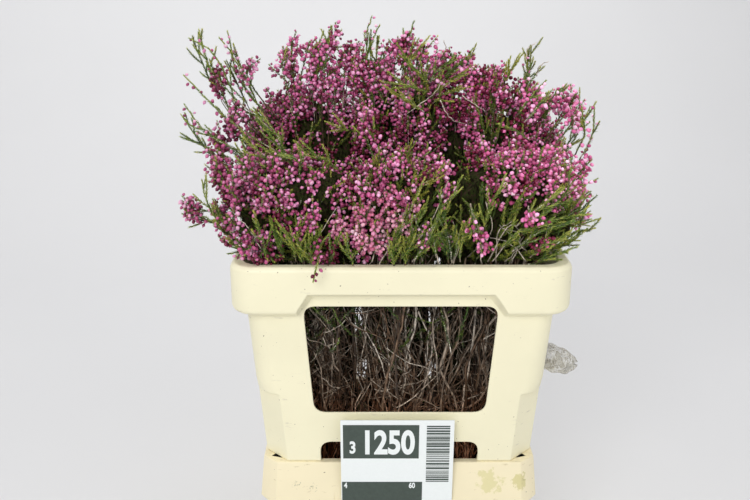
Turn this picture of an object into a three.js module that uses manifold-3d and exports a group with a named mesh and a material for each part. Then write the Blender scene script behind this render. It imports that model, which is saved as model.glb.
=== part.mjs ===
// Six bunches of cut heath standing in a two-part flower container: a bucket and a windowed collar.
// Millimetres, +Z up, the front faces -Y. The origin is the middle of the bucket's flat base.
import * as THREE from 'three';
import { mergeVertices } from 'three/addons/utils/BufferGeometryUtils.js';
import Module from 'manifold-3d';

const wasm = await Module();
wasm.setup();

// Driving dimensions of the container
const BUCKET_HEIGHT = 230;
const COLLAR_HEIGHT = 266;
const RIM = BUCKET_HEIGHT + COLLAR_HEIGHT;
const WALL = 3;
const GAP = 0.3;
const SLIVER = 0.02;
const TOPS_SLIVER = 0.35;
const DRAWS = 40;
const WELD = 1e-3;
const CORNER_STEPS = 5;

// Collar: half sizes of its outer wall where it stands on the bucket, and how much it widens per mm
const COLLAR_HALF = [168.5, 119.5];
const COLLAR_FLARE = [0.0708, 0.0678];
const COLLAR_ROUND = 24;
const CHAMFER = 29;
const CHAMFER_TOP = 94.5;
const CHAMFER_LIP = 1.5;
const CHAMFER_SLOPE = 18;
const BAND_HALF = [199, 149];
const BAND_ROUND = 30;
const BAND_DEPTH = 56;
const BAND_LIP = 3;
const BAND_RAISE = { top: 32.5, halfTop: 107.5, halfBottom: 122.5, side: 62 };
const WINDOW = { top: 52.5, bottom: 195.5, halfTop: 114.5, halfBottom: 104.5, round: 15 };
const SIDE_WINDOW = { top: 62, bottom: 188, halfTop: 62, halfBottom: 56, round: 15 };
const NOTCH = { height: 28, half: 98, round: 14 };
const TONGUE = { depth: 8, wall: 2.4, step: 6 };

// Bucket: half sizes at its rim, at the foot of its flared skirt, under the skirt and at the base
const LEDGE_HALF = [170.5, 121.5];
const LEDGE_WIDTH = 8.5;
const SKIRT_HALF = [176.5, 127.5];
const SKIRT_DEPTH = 58;
const BUCKET_WALL_HALF = [168, 119];
const BASE_HALF = [150, 102];
const BUCKET_ROUND = 16;
const FLOOR = 4;
const FOOT_EDGE = 3;

// Card and the pocket that holds it
const CARD = { width: 139, height: 196, thick: 1.2, lean: 3.4 };
const POCKET = { width: 150, height: 22, floor: 3, lip: 2.5, slot: 3.4 };
const CARD_TOP = BUCKET_HEIGHT + 67;

// Clear film: a pleated tip that lies over the lower edge of the right side window
const FILM = { across: [13, 15, 27], fold: [1.6, 2, 13], thick: 1.6 };
const FILM_STEPS = [150, 160, 170, 176, 188, 202, 217, 231, 244];
const FILM_PLEATS = [0.4, -0.8, 1, -1, 0.7];
const FILM_BACK = 4;

// Heath: the bunches stand three by two, and their cells fan out from the floor to the rim and on
const FAN_FOOT = [118, 74];
const FAN_RIM = [172, 122];
const CELL_GAP = 1.2;
const SPLIT = RIM - 20;
const STEM_FOOT = FLOOR + GAP;
const STEMS = 8;
const STEM_RADIUS = 2.3;
const STEM_REACH = 0.85;
const STEM_SPREAD_AT = 300;
const TIE = { height: 120, half: 12, radius: 17, sides: 10, wire: 1.6 };

// Tops: spikes of bells and needled twigs that stand out of a smaller knobbed core.
// The named clumps come first, and more spikes fill the crown's surface wherever it is still bare.
const CORE = { sides: 9, levels: 6, share: 0.68, foot: 0.95, relief: 0.17, waver: 0.14 };
const BELLS = { shortest: 36, longest: 66, radius: 15, knob: 0.32, rings: 4, sides: 4, scatter: 8 };
const FILL = { tries: 70, apart: 41, edge: 1, overRim: 18, reach: [0.92, 1.06] };
const LEAVES = { shortest: 60, radius: 1.8, rings: 3, needles: 6, scatter: 8 };
const NEEDLE = { length: 8, half: 0.8, sunk: 1.2, open: 0.6 };

// Each bunch: its cell, its crown as a middle and half sizes, and where its named clumps end.
// Places are millimetres to the right, to the back and above the rim.
const BUNCHES = {
  front_left: {
    cell: [-1, -1],
    crown: { middle: [-138, -66, 42], half: [86, 70, 78] },
    bells: [
      [-225, -40, 90], [-195, -90, 65], [-178, -125, 28], [-262, -60, 52], [-134, -100, 80],
      [-116, -132, 40], [-94, -166, -8], [-150, -60, 110], [-72, -125, 48],
    ],
    leaves: [
      [-205, -82, 20], [-268, -20, 150], [-168, -24, 145], [-120, -60, 118], [-84, -100, 76],
      [-150, -125, 50],
    ],
  },
  front_middle: {
    cell: [0, -1],
    crown: { middle: [0, -68, 42], half: [72, 70, 80] },
    bells: [
      [-44, -142, 72], [-18, -136, 84], [-38, -152, 40], [-6, -146, 56], [48, -90, 100],
      [0, -60, 120], [-40, -40, 140],
    ],
    leaves: [[18, -132, 58], [44, -132, 28], [26, -112, 80], [-20, -80, 104]],
  },
  front_right: {
    cell: [1, -1],
    crown: { middle: [142, -66, 42], half: [86, 70, 80] },
    bells: [
      [94, -60, 118], [143, -50, 128], [193, -40, 114], [238, -14, 96], [222, -40, 52],
      [93, -142, 37], [122, -112, 62], [200, -62, 84], [172, -105, 44],
    ],
    leaves: [[139, -92, 78], [184, -82, 62], [166, -98, 16], [112, -128, 22], [212, -60, 30]],
  },
  back_left: {
    cell: [-1, 1],
    crown: { middle: [-124, 70, 74], half: [84, 72, 104] },
    bells: [
      [-230, 18, 196], [-186, 14, 126], [-136, 30, 214], [-93, 40, 232], [-124, 18, 168],
      [-215, 62, 92], [-188, 110, 82], [-148, 90, 150], [-118, 132, 110], [-166, 142, 42],
    ],
    leaves: [[-254, 18, 240], [-208, 24, 244], [-238, 84, 60], [-100, 152, 62]],
  },
  back_middle: {
    cell: [0, 1],
    crown: { middle: [0, 70, 92], half: [72, 72, 114] },
    bells: [
      [-52, 40, 218], [-6, 40, 232], [-46, 16, 164], [2, 16, 156], [46, 40, 214],
      [-30, 92, 200], [30, 102, 180], [0, 140, 120], [-40, 150, 70],
    ],
    leaves: [[-34, 40, 270], [32, 22, 192], [40, 152, 60], [12, 160, 100]],
  },
  back_right: {
    cell: [1, 1],
    crown: { middle: [142, 70, 66], half: [86, 72, 98] },
    bells: [
      [76, 32, 214], [124, 18, 176], [173, 18, 168], [222, 16, 174], [214, 52, 120],
      [110, 80, 190], [160, 92, 150], [198, 112, 98], [120, 142, 110], [160, 150, 48],
    ],
    leaves: [[92, 22, 168], [242, 16, 154], [226, 92, 58], [92, 152, 70], [160, 30, 226]],
  },
};

// Colours, roughness and metalness as the pieces look in daylight
const LOOKS = {
  collar: [0xf4efcf, 0.45],
  bucket: [0xf6ebc9, 0.5],
  card: [0xf3f4f2, 0.6],
  film: [0xe4e8ea, 0.15],
  stems: [0x6b5a4e, 0.85],
  tops: [0xb0508f, 0.7],
  band: [0x7b3b2c, 0.6],
};

const group = new THREE.Group();

// One seeded sequence of draws between 0 and 1
function draws(seed) {
  let state = seed >>> 0;
  return () => {
    state = (Math.imul(state, 1664525) + 1013904223) >>> 0;
    return state / 4294967296;
  };
}

function solidOf(geometry) {
  const plain = geometry.clone();
  for (const name of Object.keys(plain.attributes)) {
    if (name !== 'position') plain.deleteAttribute(name);
  }
  const merged = mergeVertices(plain, WELD);
  return new wasm.Manifold(
    new wasm.Mesh({
      numProp: 3,
      vertProperties: new Float32Array(merged.attributes.position.array),
      triVerts: new Uint32Array(merged.index.array),
    }),
  );
}

function largestBody(solid) {
  const bodies = solid.decompose();
  return bodies.reduce((best, body) => (body.volume() > best.volume() ? body : best));
}

function bareGeometry(solid) {
  const { vertProperties, triVerts } = solid.getMesh();
  const geometry = new THREE.BufferGeometry();
  geometry.setAttribute('position', new THREE.BufferAttribute(new Float32Array(vertProperties), 3));
  geometry.setIndex(Array.from(triVerts));
  return geometry;
}

// True where each edge of the welded triangles is shared by just two of them
function edgesPair(geometry) {
  const index = geometry.index.array;
  const uses = new Map();
  for (let i = 0; i < index.length; i += 1) {
    const next = i % 3 === 2 ? i - 2 : i + 1;
    const key = [index[i], index[next]].sort((a, b) => a - b).join();
    uses.set(key, (uses.get(key) || 0) + 1);
  }
  return [...uses.values()].every((count) => count === 2);
}

// Slivers that a cut leaves are closed up, and loose scraps dropped, before the solid becomes a mesh
function geometryOf(solid, sliver = SLIVER) {
  const tidy = largestBody(solid.asOriginal().simplify(sliver));
  const welded = largestBody(solidOf(bareGeometry(tidy)));
  const geometry = mergeVertices(bareGeometry(welded), WELD);
  geometry.computeVertexNormals();
  return geometry;
}

function addPiece(name, look, geometry) {
  const [color, roughness] = LOOKS[look];
  const material = new THREE.MeshStandardMaterial({ color, roughness, metalness: 0 });
  const mesh = new THREE.Mesh(geometry, material);
  mesh.name = name;
  group.add(mesh);
}

// Closed skin through rings of points that all have the same count, listed from the bottom up
function skin(rings) {
  const count = rings[0].length;
  const points = rings.flat();
  const index = [];
  for (let r = 0; r + 1 < rings.length; r += 1) {
    for (let i = 0; i < count; i += 1) {
      const a = r * count + i;
      const b = r * count + ((i + 1) % count);
      index.push(a, b, b + count, a, b + count, a + count);
    }
  }
  // The ends are closed straight across the ring, which also suits a bent band of points
  const top = (rings.length - 1) * count;
  for (let i = 0, j = count - 1; i + 1 < j; i += 1, j -= 1) {
    index.push(j, i + 1, i, top + i, top + i + 1, top + j);
    if (i + 2 < j) index.push(j, j - 1, i + 1, top + i + 1, top + j - 1, top + j);
  }
  const geometry = new THREE.BufferGeometry();
  const flat = points.flatMap((p) => [p.x, p.y, p.z]);
  geometry.setAttribute('position', new THREE.BufferAttribute(new Float32Array(flat), 3));
  geometry.setIndex(index);
  return geometry;
}

// Rectangle with corners that reach `cut` along each side: bulge 1 rounds them, 0 chamfers them
function ring(half, cut, bulge, z) {
  const points = [];
  for (let quarter = 0; quarter < 4; quarter += 1) {
    const start = (quarter * Math.PI) / 2;
    const signX = quarter === 0 || quarter === 3 ? 1 : -1;
    const signY = quarter < 2 ? 1 : -1;
    for (let i = 0; i <= CORNER_STEPS; i += 1) {
      const t = i / CORNER_STEPS;
      const arc = start + (t * Math.PI) / 2;
      const straightX = Math.cos(start) * (1 - t) + Math.cos(start + Math.PI / 2) * t;
      const straightY = Math.sin(start) * (1 - t) + Math.sin(start + Math.PI / 2) * t;
      const x = straightX + (Math.cos(arc) - straightX) * bulge;
      const y = straightY + (Math.sin(arc) - straightY) * bulge;
      const corner = [signX * (half[0] - cut), signY * (half[1] - cut)];
      points.push(new THREE.Vector3(corner[0] + cut * x, corner[1] + cut * y, z));
    }
  }
  return points;
}

function box(low, high) {
  const size = high.map((value, axis) => value - low[axis]);
  const geometry = new THREE.BoxGeometry(...size);
  geometry.translate(...low.map((value, axis) => value + size[axis] / 2));
  return solidOf(geometry);
}

// Half sizes of the collar's wall at a height, on its outside moved in by `inset`
function collarHalf(z, inset = 0) {
  return COLLAR_HALF.map((half, axis) => half + COLLAR_FLARE[axis] * (z - BUCKET_HEIGHT) - inset);
}

// Four-sided opening with rounded corners, cut straight through along Y, or along X when `side` is true
function openingCutter({ low, high, halfLow, halfHigh, round }, reach, side) {
  const shape = new THREE.Shape();
  const corners = [
    [-halfLow, low],
    [halfLow, low],
    [halfHigh, high],
    [-halfHigh, high],
  ].map(([x, y]) => new THREE.Vector2(x, y));
  corners.forEach((corner, i) => {
    const before = corners[(i + 3) % 4];
    const after = corners[(i + 1) % 4];
    const enter = corner.clone().add(before.clone().sub(corner).setLength(round));
    const leave = corner.clone().add(after.clone().sub(corner).setLength(round));
    if (i === 0) shape.moveTo(enter.x, enter.y);
    else shape.lineTo(enter.x, enter.y);
    shape.quadraticCurveTo(corner.x, corner.y, leave.x, leave.y);
  });
  const settings = { depth: 2 * reach, bevelEnabled: false, curveSegments: 4 };
  const geometry = new THREE.ExtrudeGeometry(shape, settings);
  geometry.translate(0, 0, -reach);
  geometry.rotateX(Math.PI / 2);
  if (side) geometry.rotateZ(Math.PI / 2);
  return solidOf(geometry);
}

// The raised middle of the band's lower edge, as a block that narrows towards the wall
function bandRaiseCutter(sideways) {
  const reach = sideways ? BAND_HALF[0] : BAND_HALF[1];
  const scale = sideways ? BAND_RAISE.side / BAND_RAISE.halfTop : 1;
  const face = (out, shrink) => {
    const low = RIM - BAND_DEPTH - 20;
    const high = RIM - BAND_RAISE.top - shrink;
    const halfLow = (BAND_RAISE.halfBottom - shrink) * scale + 14;
    const halfHigh = (BAND_RAISE.halfTop - shrink) * scale;
    return [
      new THREE.Vector3(-halfLow, -out, low),
      new THREE.Vector3(halfLow, -out, low),
      new THREE.Vector3(halfHigh, -out, high),
      new THREE.Vector3(-halfHigh, -out, high),
    ];
  };
  const cutters = [];
  for (const turn of [0, Math.PI]) {
    const geometry = skin([face(reach - 17, 7), face(reach + 4, -2)]);
    geometry.rotateZ(turn + (sideways ? Math.PI / 2 : 0));
    cutters.push(solidOf(geometry));
  }
  return cutters[0].add(cutters[1]);
}

function collarWall(inset, from, to) {
  const chamferEnd = BUCKET_HEIGHT + CHAMFER_TOP;
  const heights = [from, chamferEnd, chamferEnd + CHAMFER_LIP, chamferEnd + CHAMFER_SLOPE, to];
  const bulges = [0, 0, 0.7, 1, 1];
  const cuts = [CHAMFER, CHAMFER, CHAMFER - 2.5, COLLAR_ROUND, COLLAR_ROUND];
  const shrink = inset * 0.58;
  return heights.map((z, i) => ring(collarHalf(z, inset), cuts[i] - shrink, bulges[i], z));
}

function buildCollar() {
  const seat = BUCKET_HEIGHT + GAP;
  const above = RIM - GAP;
  const wall = solidOf(skin(collarWall(0, seat, above)));
  const lip = BAND_HALF.map((half) => half - BAND_LIP);
  const under = RIM - BAND_DEPTH - 7;
  const band = solidOf(
    skin([
      ring(collarHalf(under, 1), COLLAR_ROUND, 1, under),
      ring(BAND_HALF, BAND_ROUND, 1, RIM - BAND_DEPTH),
      ring(BAND_HALF, BAND_ROUND, 1, RIM - BAND_LIP),
      ring(lip, BAND_ROUND - BAND_LIP, 1, RIM),
    ]),
  );
  // The raise is cut from the band alone, so the wall behind it stays whole
  let body = band.subtract(bandRaiseCutter(false)).subtract(bandRaiseCutter(true)).add(wall);

  // The foot steps inward and drops as a tongue behind the bucket's ledge
  const tongueHalf = LEDGE_HALF.map((half) => half - LEDGE_WIDTH - 2 * GAP);
  const tongueCut = CHAMFER - 3;
  const tongue = solidOf(
    skin([
      ring(tongueHalf, tongueCut, 0, BUCKET_HEIGHT - TONGUE.depth),
      ring(tongueHalf, tongueCut, 0, seat + TONGUE.step / 2),
      ring(collarHalf(seat + TONGUE.step, 1), CHAMFER, 0, seat + TONGUE.step),
    ]),
  );
  body = body.add(tongue);

  const tongueInner = tongueHalf.map((half) => half - TONGUE.wall);
  const hollowTop = collarWall(WALL, seat + TONGUE.step + 3, RIM + 5);
  const hollow = solidOf(
    skin([
      ring(tongueInner, tongueCut - 1.4, 0, BUCKET_HEIGHT - TONGUE.depth - 5),
      ring(tongueInner, tongueCut - 1.4, 0, seat + TONGUE.step / 2),
      ...hollowTop,
    ]),
  );
  body = body.subtract(hollow);

  const opening = ({ top, bottom, halfTop, halfBottom, round }) => ({
    low: RIM - bottom,
    high: RIM - top,
    halfLow: halfBottom,
    halfHigh: halfTop,
    round,
  });
  const notch = {
    low: BUCKET_HEIGHT - TONGUE.depth - 20,
    high: BUCKET_HEIGHT + NOTCH.height,
    halfLow: NOTCH.half,
    halfHigh: NOTCH.half,
    round: NOTCH.round,
  };
  body = body.subtract(openingCutter(opening(WINDOW), 300, false));
  body = body.subtract(openingCutter(opening(SIDE_WINDOW), 300, true));
  body = body.subtract(openingCutter(notch, 300, false));
  addPiece('collar', 'collar', geometryOf(body));
}

function buildBucket() {
  const inner = LEDGE_HALF.map((half) => half - LEDGE_WIDTH);
  const skirtFoot = BUCKET_HEIGHT - SKIRT_DEPTH;
  const wallInner = BUCKET_WALL_HALF.map((half) => half - WALL);
  const baseInner = BASE_HALF.map((half) => half - WALL);
  const outer = solidOf(
    skin([
      ring(BASE_HALF.map((half) => half - FOOT_EDGE), BUCKET_ROUND + 2, 1, 0),
      ring(BASE_HALF, BUCKET_ROUND + 4, 1, FOOT_EDGE),
      ring(BUCKET_WALL_HALF, BUCKET_ROUND + 4, 1, skirtFoot - 8),
      ring(SKIRT_HALF, BUCKET_ROUND, 1, skirtFoot),
      ring(LEDGE_HALF.map((half) => half + 1), BUCKET_ROUND - 2, 1, BUCKET_HEIGHT - 2.5),
      ring(LEDGE_HALF, BUCKET_ROUND - 3, 1, BUCKET_HEIGHT),
    ]),
  );
  const hollow = solidOf(
    skin([
      ring(baseInner, BUCKET_ROUND + 2, 1, FLOOR),
      ring(wallInner, BUCKET_ROUND + 2, 1, BUCKET_HEIGHT - 24),
      ring(inner, CHAMFER - 2, 0, BUCKET_HEIGHT - 14),
      ring(inner, CHAMFER - 2, 0, BUCKET_HEIGHT + 5),
    ]),
  );
  const body = outer.subtract(hollow).add(pocket());
  addPiece('bucket', 'bucket', geometryOf(body));
}

// Where the card's back would lie at a height: it leans out towards its top
function cardBack(z) {
  const slope = Math.tan(THREE.MathUtils.degToRad(CARD.lean));
  const skirtFoot = BUCKET_HEIGHT - SKIRT_DEPTH;
  return -(SKIRT_HALF[1] + 0.8 + slope * (z - skirtFoot));
}

const CARD_FOOT = CARD_TOP - CARD.height;

// Pocket moulded on the bucket's front: a floor and a lip that the card's lower edge stands behind
function pocket() {
  const inside = cardBack(CARD_FOOT) - POCKET.slot;
  const front = inside - POCKET.lip;
  const behind = -(BASE_HALF[1] - 2);
  const low = CARD_FOOT - GAP - POCKET.floor;
  const half = POCKET.width / 2;
  const block = box([-half, front, low], [half, behind + WALL, CARD_FOOT + POCKET.height]);
  const slot = box(
    [-half + POCKET.lip, inside, CARD_FOOT - GAP],
    [half - POCKET.lip, cardBack(CARD_FOOT) + 0.9, CARD_FOOT + POCKET.height + 5],
  );
  const wallAt = (z) => {
    const share = (z - FOOT_EDGE) / (BUCKET_HEIGHT - SKIRT_DEPTH - 8 - FOOT_EDGE);
    return BASE_HALF.map((half_, axis) => half_ + (BUCKET_WALL_HALF[axis] - half_) * share - WALL / 2);
  };
  const inner = solidOf(
    skin([
      ring(wallAt(low - 20), BUCKET_ROUND, 1, low - 20),
      ring(wallAt(CARD_FOOT + POCKET.height + 20), BUCKET_ROUND, 1, CARD_FOOT + POCKET.height + 20),
    ]),
  );
  return block.subtract(slot).subtract(inner);
}

function buildCard() {
  const geometry = new THREE.BoxGeometry(CARD.width, CARD.thick, CARD.height);
  geometry.translate(-3, -CARD.thick / 2, CARD.height / 2);
  geometry.rotateX(THREE.MathUtils.degToRad(CARD.lean));
  geometry.translate(0, cardBack(CARD_FOOT), CARD_FOOT);
  addPiece('card', 'card', geometryOf(solidOf(geometry)));
}

// Rings of the film run from inside the collar over the window's edge and out, where the pleats open
function buildFilm() {
  const edge = RIM - SIDE_WINDOW.bottom;
  const wallAt = collarHalf(edge)[0];
  const [first, last] = [FILM_STEPS[0], FILM_STEPS[FILM_STEPS.length - 1]];
  const rings = FILM_STEPS.map((x) => {
    const inside = Math.max(0, (wallAt - WALL - x) / (wallAt - WALL - first));
    const out = Math.max(0, (x - wallAt - 4) / (last - wallAt - 4));
    const size = ([inner, neck, mouth]) => mix(mix(neck, inner, inside), mouth, out ** 0.8);
    const fold = size(FILM.fold);
    const across = size(FILM.across);
    const rest = edge + GAP + fold + FILM.thick / 2 - 14 * inside ** 2 + 4 * out;
    const point = (pleat, place, side) =>
      new THREE.Vector3(
        x + 3 * out * pleat,
        FILM_BACK + across * (place / 2 - 1),
        rest + fold * pleat + (side * FILM.thick) / 2,
      );
    const under = FILM_PLEATS.map((pleat, place) => point(pleat, place, -1));
    const over = FILM_PLEATS.map((pleat, place) => point(pleat, place, 1));
    return [...under, ...over.reverse()];
  });
  addPiece('clear_film_tip', 'film', geometryOf(solidOf(skin(rings))));
}

function fan(z) {
  return FAN_FOOT.map((foot, axis) => foot + ((FAN_RIM[axis] - foot) * (z - FLOOR)) / (RIM - FLOOR));
}

// A place in a bunch's cell at a height: `across` and `along` run from -1 to 1 over the cell
function inCell([column, row], z, across, along) {
  const [width, depth] = fan(z);
  return new THREE.Vector3(((column + across / 2) * 2 * width) / 3, ((row + along) * depth) / 2, z);
}

// The wedge that keeps one bunch clear of the next: its sides are planes that fan out with height
function wedge([column, row]) {
  const top = RIM + 400;
  const far = 600;
  const side = (z, edge) => (Math.abs(edge) > 1 ? Math.sign(edge) * far : (edge * fan(z)[0] * 2) / 3);
  const face = (z) => {
    const low = side(z, column === -1 ? -3 : column - 0.5) + CELL_GAP / 2;
    const high = side(z, column === 1 ? 3 : column + 0.5) - CELL_GAP / 2;
    const near = row < 0 ? -far : CELL_GAP / 2;
    const back = row < 0 ? -CELL_GAP / 2 : far;
    return [
      new THREE.Vector3(low, near, z),
      new THREE.Vector3(high, near, z),
      new THREE.Vector3(high, back, z),
      new THREE.Vector3(low, back, z),
    ];
  };
  return solidOf(skin([face(0), face(top)]));
}

function mix(from, to, share) {
  return from + (to - from) * share;
}

function polygon(centre, radius, sides, turn = 0) {
  return Array.from({ length: sides }, (_, i) => {
    const angle = turn + (i * 2 * Math.PI) / sides;
    return new THREE.Vector3(
      centre.x + radius * Math.cos(angle),
      centre.y + radius * Math.sin(angle),
      centre.z,
    );
  });
}

// Ring of points square to a direction, turned from a side vector
function ringAcross(centre, direction, side, radius, sides, turn = 0) {
  const u = side.clone().addScaledVector(direction, -side.dot(direction)).normalize();
  const v = direction.clone().cross(u);
  return Array.from({ length: sides }, (_, i) => {
    const angle = turn + (i * 2 * Math.PI) / sides;
    return centre
      .clone()
      .addScaledVector(u, radius * Math.cos(angle))
      .addScaledVector(v, radius * Math.sin(angle));
  });
}

function buildStems(name, cell, draw) {
  const parts = [];
  const tieCentre = inCell(cell, TIE.height, 0, 0);
  for (let i = 0; i < STEMS; i += 1) {
    // Golden-angle places fill the cell evenly
    const reach = Math.sqrt((i + 0.6) / STEMS);
    const angle = i * 2.39996 + draw() * 0.5;
    const across = STEM_REACH * reach * Math.cos(angle);
    const along = STEM_REACH * reach * Math.sin(angle);
    const inTie = (radius, z) =>
      new THREE.Vector3(
        tieCentre.x + radius * reach * Math.cos(angle),
        tieCentre.y + radius * reach * Math.sin(angle),
        z,
      );
    const sway = () => (draw() - 0.5) * 0.16;
    const curve = new THREE.CatmullRomCurve3([
      inTie(TIE.radius + 6, STEM_FOOT),
      inTie(TIE.radius - 4, TIE.height - TIE.half / 2),
      inTie(TIE.radius - 4, TIE.height + TIE.half / 2),
      inCell(cell, STEM_SPREAD_AT, across * 0.82 + sway(), along * 0.82 + sway()),
      inCell(cell, SPLIT, across, along),
    ]);
    const rings = curve.getPoints(6).map((point, step) => {
      const radius = STEM_RADIUS * (1.1 - 0.04 * step);
      return polygon(point, radius, 3, angle);
    });
    parts.push(solidOf(skin(rings)));
  }
  const packed = TIE.radius - TIE.wire;
  const plug = [
    [TIE.height - 2 * TIE.half, 4],
    [TIE.height - TIE.half / 2, packed],
    [TIE.height + TIE.half / 2, packed],
    [TIE.height + 2 * TIE.half, 4],
  ].map(([z, radius]) => polygon(tieCentre.clone().setZ(z), radius, TIE.sides));
  parts.push(solidOf(skin(plug)));
  addPiece(`${name}_stems`, 'stems', geometryOf(wasm.Manifold.union(parts)));

  const wire = new THREE.TorusGeometry(packed + TIE.wire + GAP * 1.2, TIE.wire, 4, TIE.sides);
  wire.translate(tieCentre.x, tieCentre.y, TIE.height);
  addPiece(`${name}_rubber_band`, 'band', geometryOf(solidOf(wire)));
}

// Level vector across the upright plane that a twig's curve lies in
function level(curve) {
  const chord = curve.getPoint(1).sub(curve.getPoint(0));
  return new THREE.Vector3(-chord.y, chord.x, 0).normalize();
}

// Skin along a curve with a radius at each place on it, turned by half a side from ring to ring
function twig(curve, places, radii, sides) {
  const side = level(curve);
  const rings = places.map((t, i) =>
    ringAcross(curve.getPoint(t), curve.getTangent(t), side, radii[i], sides, (i * Math.PI) / sides),
  );
  return solidOf(skin(rings));
}

// Three-sided needle from a base triangle to its point
function spike(base, point) {
  const geometry = new THREE.BufferGeometry();
  const flat = [...base, point].flatMap((p) => [p.x, p.y, p.z]);
  geometry.setAttribute('position', new THREE.BufferAttribute(new Float32Array(flat), 3));
  geometry.setIndex([0, 2, 1, 0, 1, 3, 1, 2, 3, 2, 0, 3]);
  return solidOf(geometry);
}

// Growth from inside the core: the twig bows up on the way to its tip
function growth(crown, tip, shortest) {
  const middle = new THREE.Vector3(crown.middle[0], crown.middle[1], RIM + crown.middle[2]);
  const out = tip.clone().sub(middle);
  const surface = 1 / Math.hypot(...crown.half.map((half, axis) => out.getComponent(axis) / half));
  const share = Math.max(0.08, Math.min(0.85 * CORE.share * surface, 1 - shortest / out.length()));
  const root = middle.clone().addScaledVector(out, share);
  root.z = Math.max(root.z, SPLIT + 12);
  const bend = new THREE.Vector3().lerpVectors(root, tip, 0.5);
  bend.z += 0.16 * root.distanceTo(tip);
  return new THREE.QuadraticBezierCurve3(root, bend, tip);
}

// Spikes over the crown by the golden angle: a dome over a barrel that comes down to the rim.
// They stay inside the cell and off each other, and none is spent low down between two bunches.
function fillTips({ cell, crown }, placed, draw) {
  const tips = [];
  for (let i = 0; i < FILL.tries; i += 1) {
    const rise = 1 - (2 * (i + 0.5)) / FILL.tries;
    const angle = i * 2.39996;
    const wide = rise > 0 ? Math.sqrt(1 - rise * rise) : 1 - 0.2 * rise * rise;
    const reach = FILL.reach[0] + (FILL.reach[1] - FILL.reach[0]) * draw();
    const drop = rise > 0 ? crown.half[2] * reach : crown.middle[2] - FILL.overRim;
    const wanted = new THREE.Vector3(
      crown.middle[0] + crown.half[0] * reach * wide * Math.cos(angle),
      crown.middle[1] + crown.half[1] * reach * wide * Math.sin(angle),
      RIM + crown.middle[2] + drop * rise,
    );
    const tip = insideCell(cell, wanted, FILL.edge);
    const inner = (wanted.y - crown.middle[1]) * cell[1] < 0;
    const between = inner && rise < 0.3 && tip.distanceTo(wanted) > 1;
    const bare = [...placed, ...tips].every((other) => other.distanceTo(tip) > FILL.apart);
    if (bare && !between) tips.push(tip);
  }
  return tips;
}

// Tip moved into its own cell, at least `edge` from the neighbouring cells
function insideCell([column, row], tip, edge) {
  const width = (fan(tip.z)[0] * 2) / 3;
  const low = column === -1 ? -Infinity : (column - 0.5) * width + edge;
  const high = column === 1 ? Infinity : (column + 0.5) * width - edge;
  const side = row < 0 ? Math.min(tip.y, -edge) : Math.max(tip.y, edge);
  return new THREE.Vector3(Math.max(low, Math.min(high, tip.x)), side, tip.z);
}

function scattered([x, y, z], scatter, draw) {
  const spot = () => (draw() - 0.5) * scatter;
  return new THREE.Vector3(x + spot(), y + spot(), RIM + z + spot());
}

function bellSpray(crown, tip) {
  const curve = growth(crown, tip, BELLS.shortest);
  const length = curve.getLength();
  const stalk = length > BELLS.longest ? [0.14, 0.16] : [];
  const start = stalk.length ? 1 - BELLS.longest / length : 0;
  const places = stalk.length ? [0, start] : [];
  const radii = stalk.map((share) => BELLS.radius * share);
  for (let i = 0; i < BELLS.rings; i += 1) {
    const t = (i + 0.6) / (BELLS.rings - 0.4);
    const swell = i === BELLS.rings - 1 ? 0.28 : 0.7 + 0.3 * Math.sin(Math.PI * t);
    radii.push(BELLS.radius * swell * (i % 2 ? 1 - BELLS.knob : 1 + BELLS.knob));
    places.push(start + (1 - start) * t);
  }
  return twig(curve, places, radii, BELLS.sides);
}

function leafSpray(crown, tip, draw) {
  const curve = growth(crown, tip, LEAVES.shortest);
  const side = level(curve);
  const turn = draw() * 3;
  const steps = Array.from({ length: LEAVES.rings }, (_, i) => i / (LEAVES.rings - 1));
  const radii = steps.map((t) => LEAVES.radius * (1 - 0.5 * t));
  const parts = [twig(curve, steps, radii, 3)];
  for (let i = 0; i < LEAVES.needles; i += 1) {
    const t = 0.4 + (0.56 * i) / (LEAVES.needles - 1);
    const along = curve.getTangent(t);
    const [out] = ringAcross(new THREE.Vector3(), along, side, 1, 1, turn + i * 2.4);
    const direction = along.clone().lerp(out, NEEDLE.open).normalize();
    const root = curve.getPoint(t).addScaledVector(direction, -NEEDLE.sunk);
    const point = root.clone().addScaledVector(direction, NEEDLE.length + NEEDLE.sunk);
    parts.push(spike(ringAcross(root, direction, along, NEEDLE.half, 3), point));
  }
  return wasm.Manifold.union(parts);
}

// Core with knobs at every other point of its rings: it stands on the stems' ends, inside the crown
function buildCore({ cell, crown }, draw) {
  const bottom = SPLIT + GAP;
  const top = RIM + crown.middle[2] + CORE.share * crown.half[2];
  const widest = (RIM + crown.middle[2] - bottom) / (top - bottom);
  const foot = inCell(cell, bottom, 0, 0);
  const footHalf = [(CORE.foot * fan(bottom)[0]) / 3, (CORE.foot * fan(bottom)[1]) / 2];
  const rings = Array.from({ length: CORE.levels }, (_, row) => {
    const share = row / (CORE.levels - 1);
    const rise = Math.min(1, share / widest);
    const over = Math.max(0, (share - widest) / (1 - widest));
    const swell = Math.sqrt(1.03 - over * over);
    const place = (axis) => mix(foot.getComponent(axis), crown.middle[axis], rise);
    const size = (axis) => swell * mix(footHalf[axis], CORE.share * crown.half[axis], rise);
    return Array.from({ length: CORE.sides }, (__, i) => {
      const angle = ((i + row / 2) * 2 * Math.PI) / CORE.sides;
      const relief = (i + row) % 2 ? CORE.relief : -CORE.relief;
      const reach = row ? 1 + relief + CORE.waver * (draw() - 0.5) : 1;
      return new THREE.Vector3(
        place(0) + size(0) * reach * Math.cos(angle),
        place(1) + size(1) * reach * Math.sin(angle),
        mix(bottom, top, share),
      );
    });
  });
  return solidOf(skin(rings));
}

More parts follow.
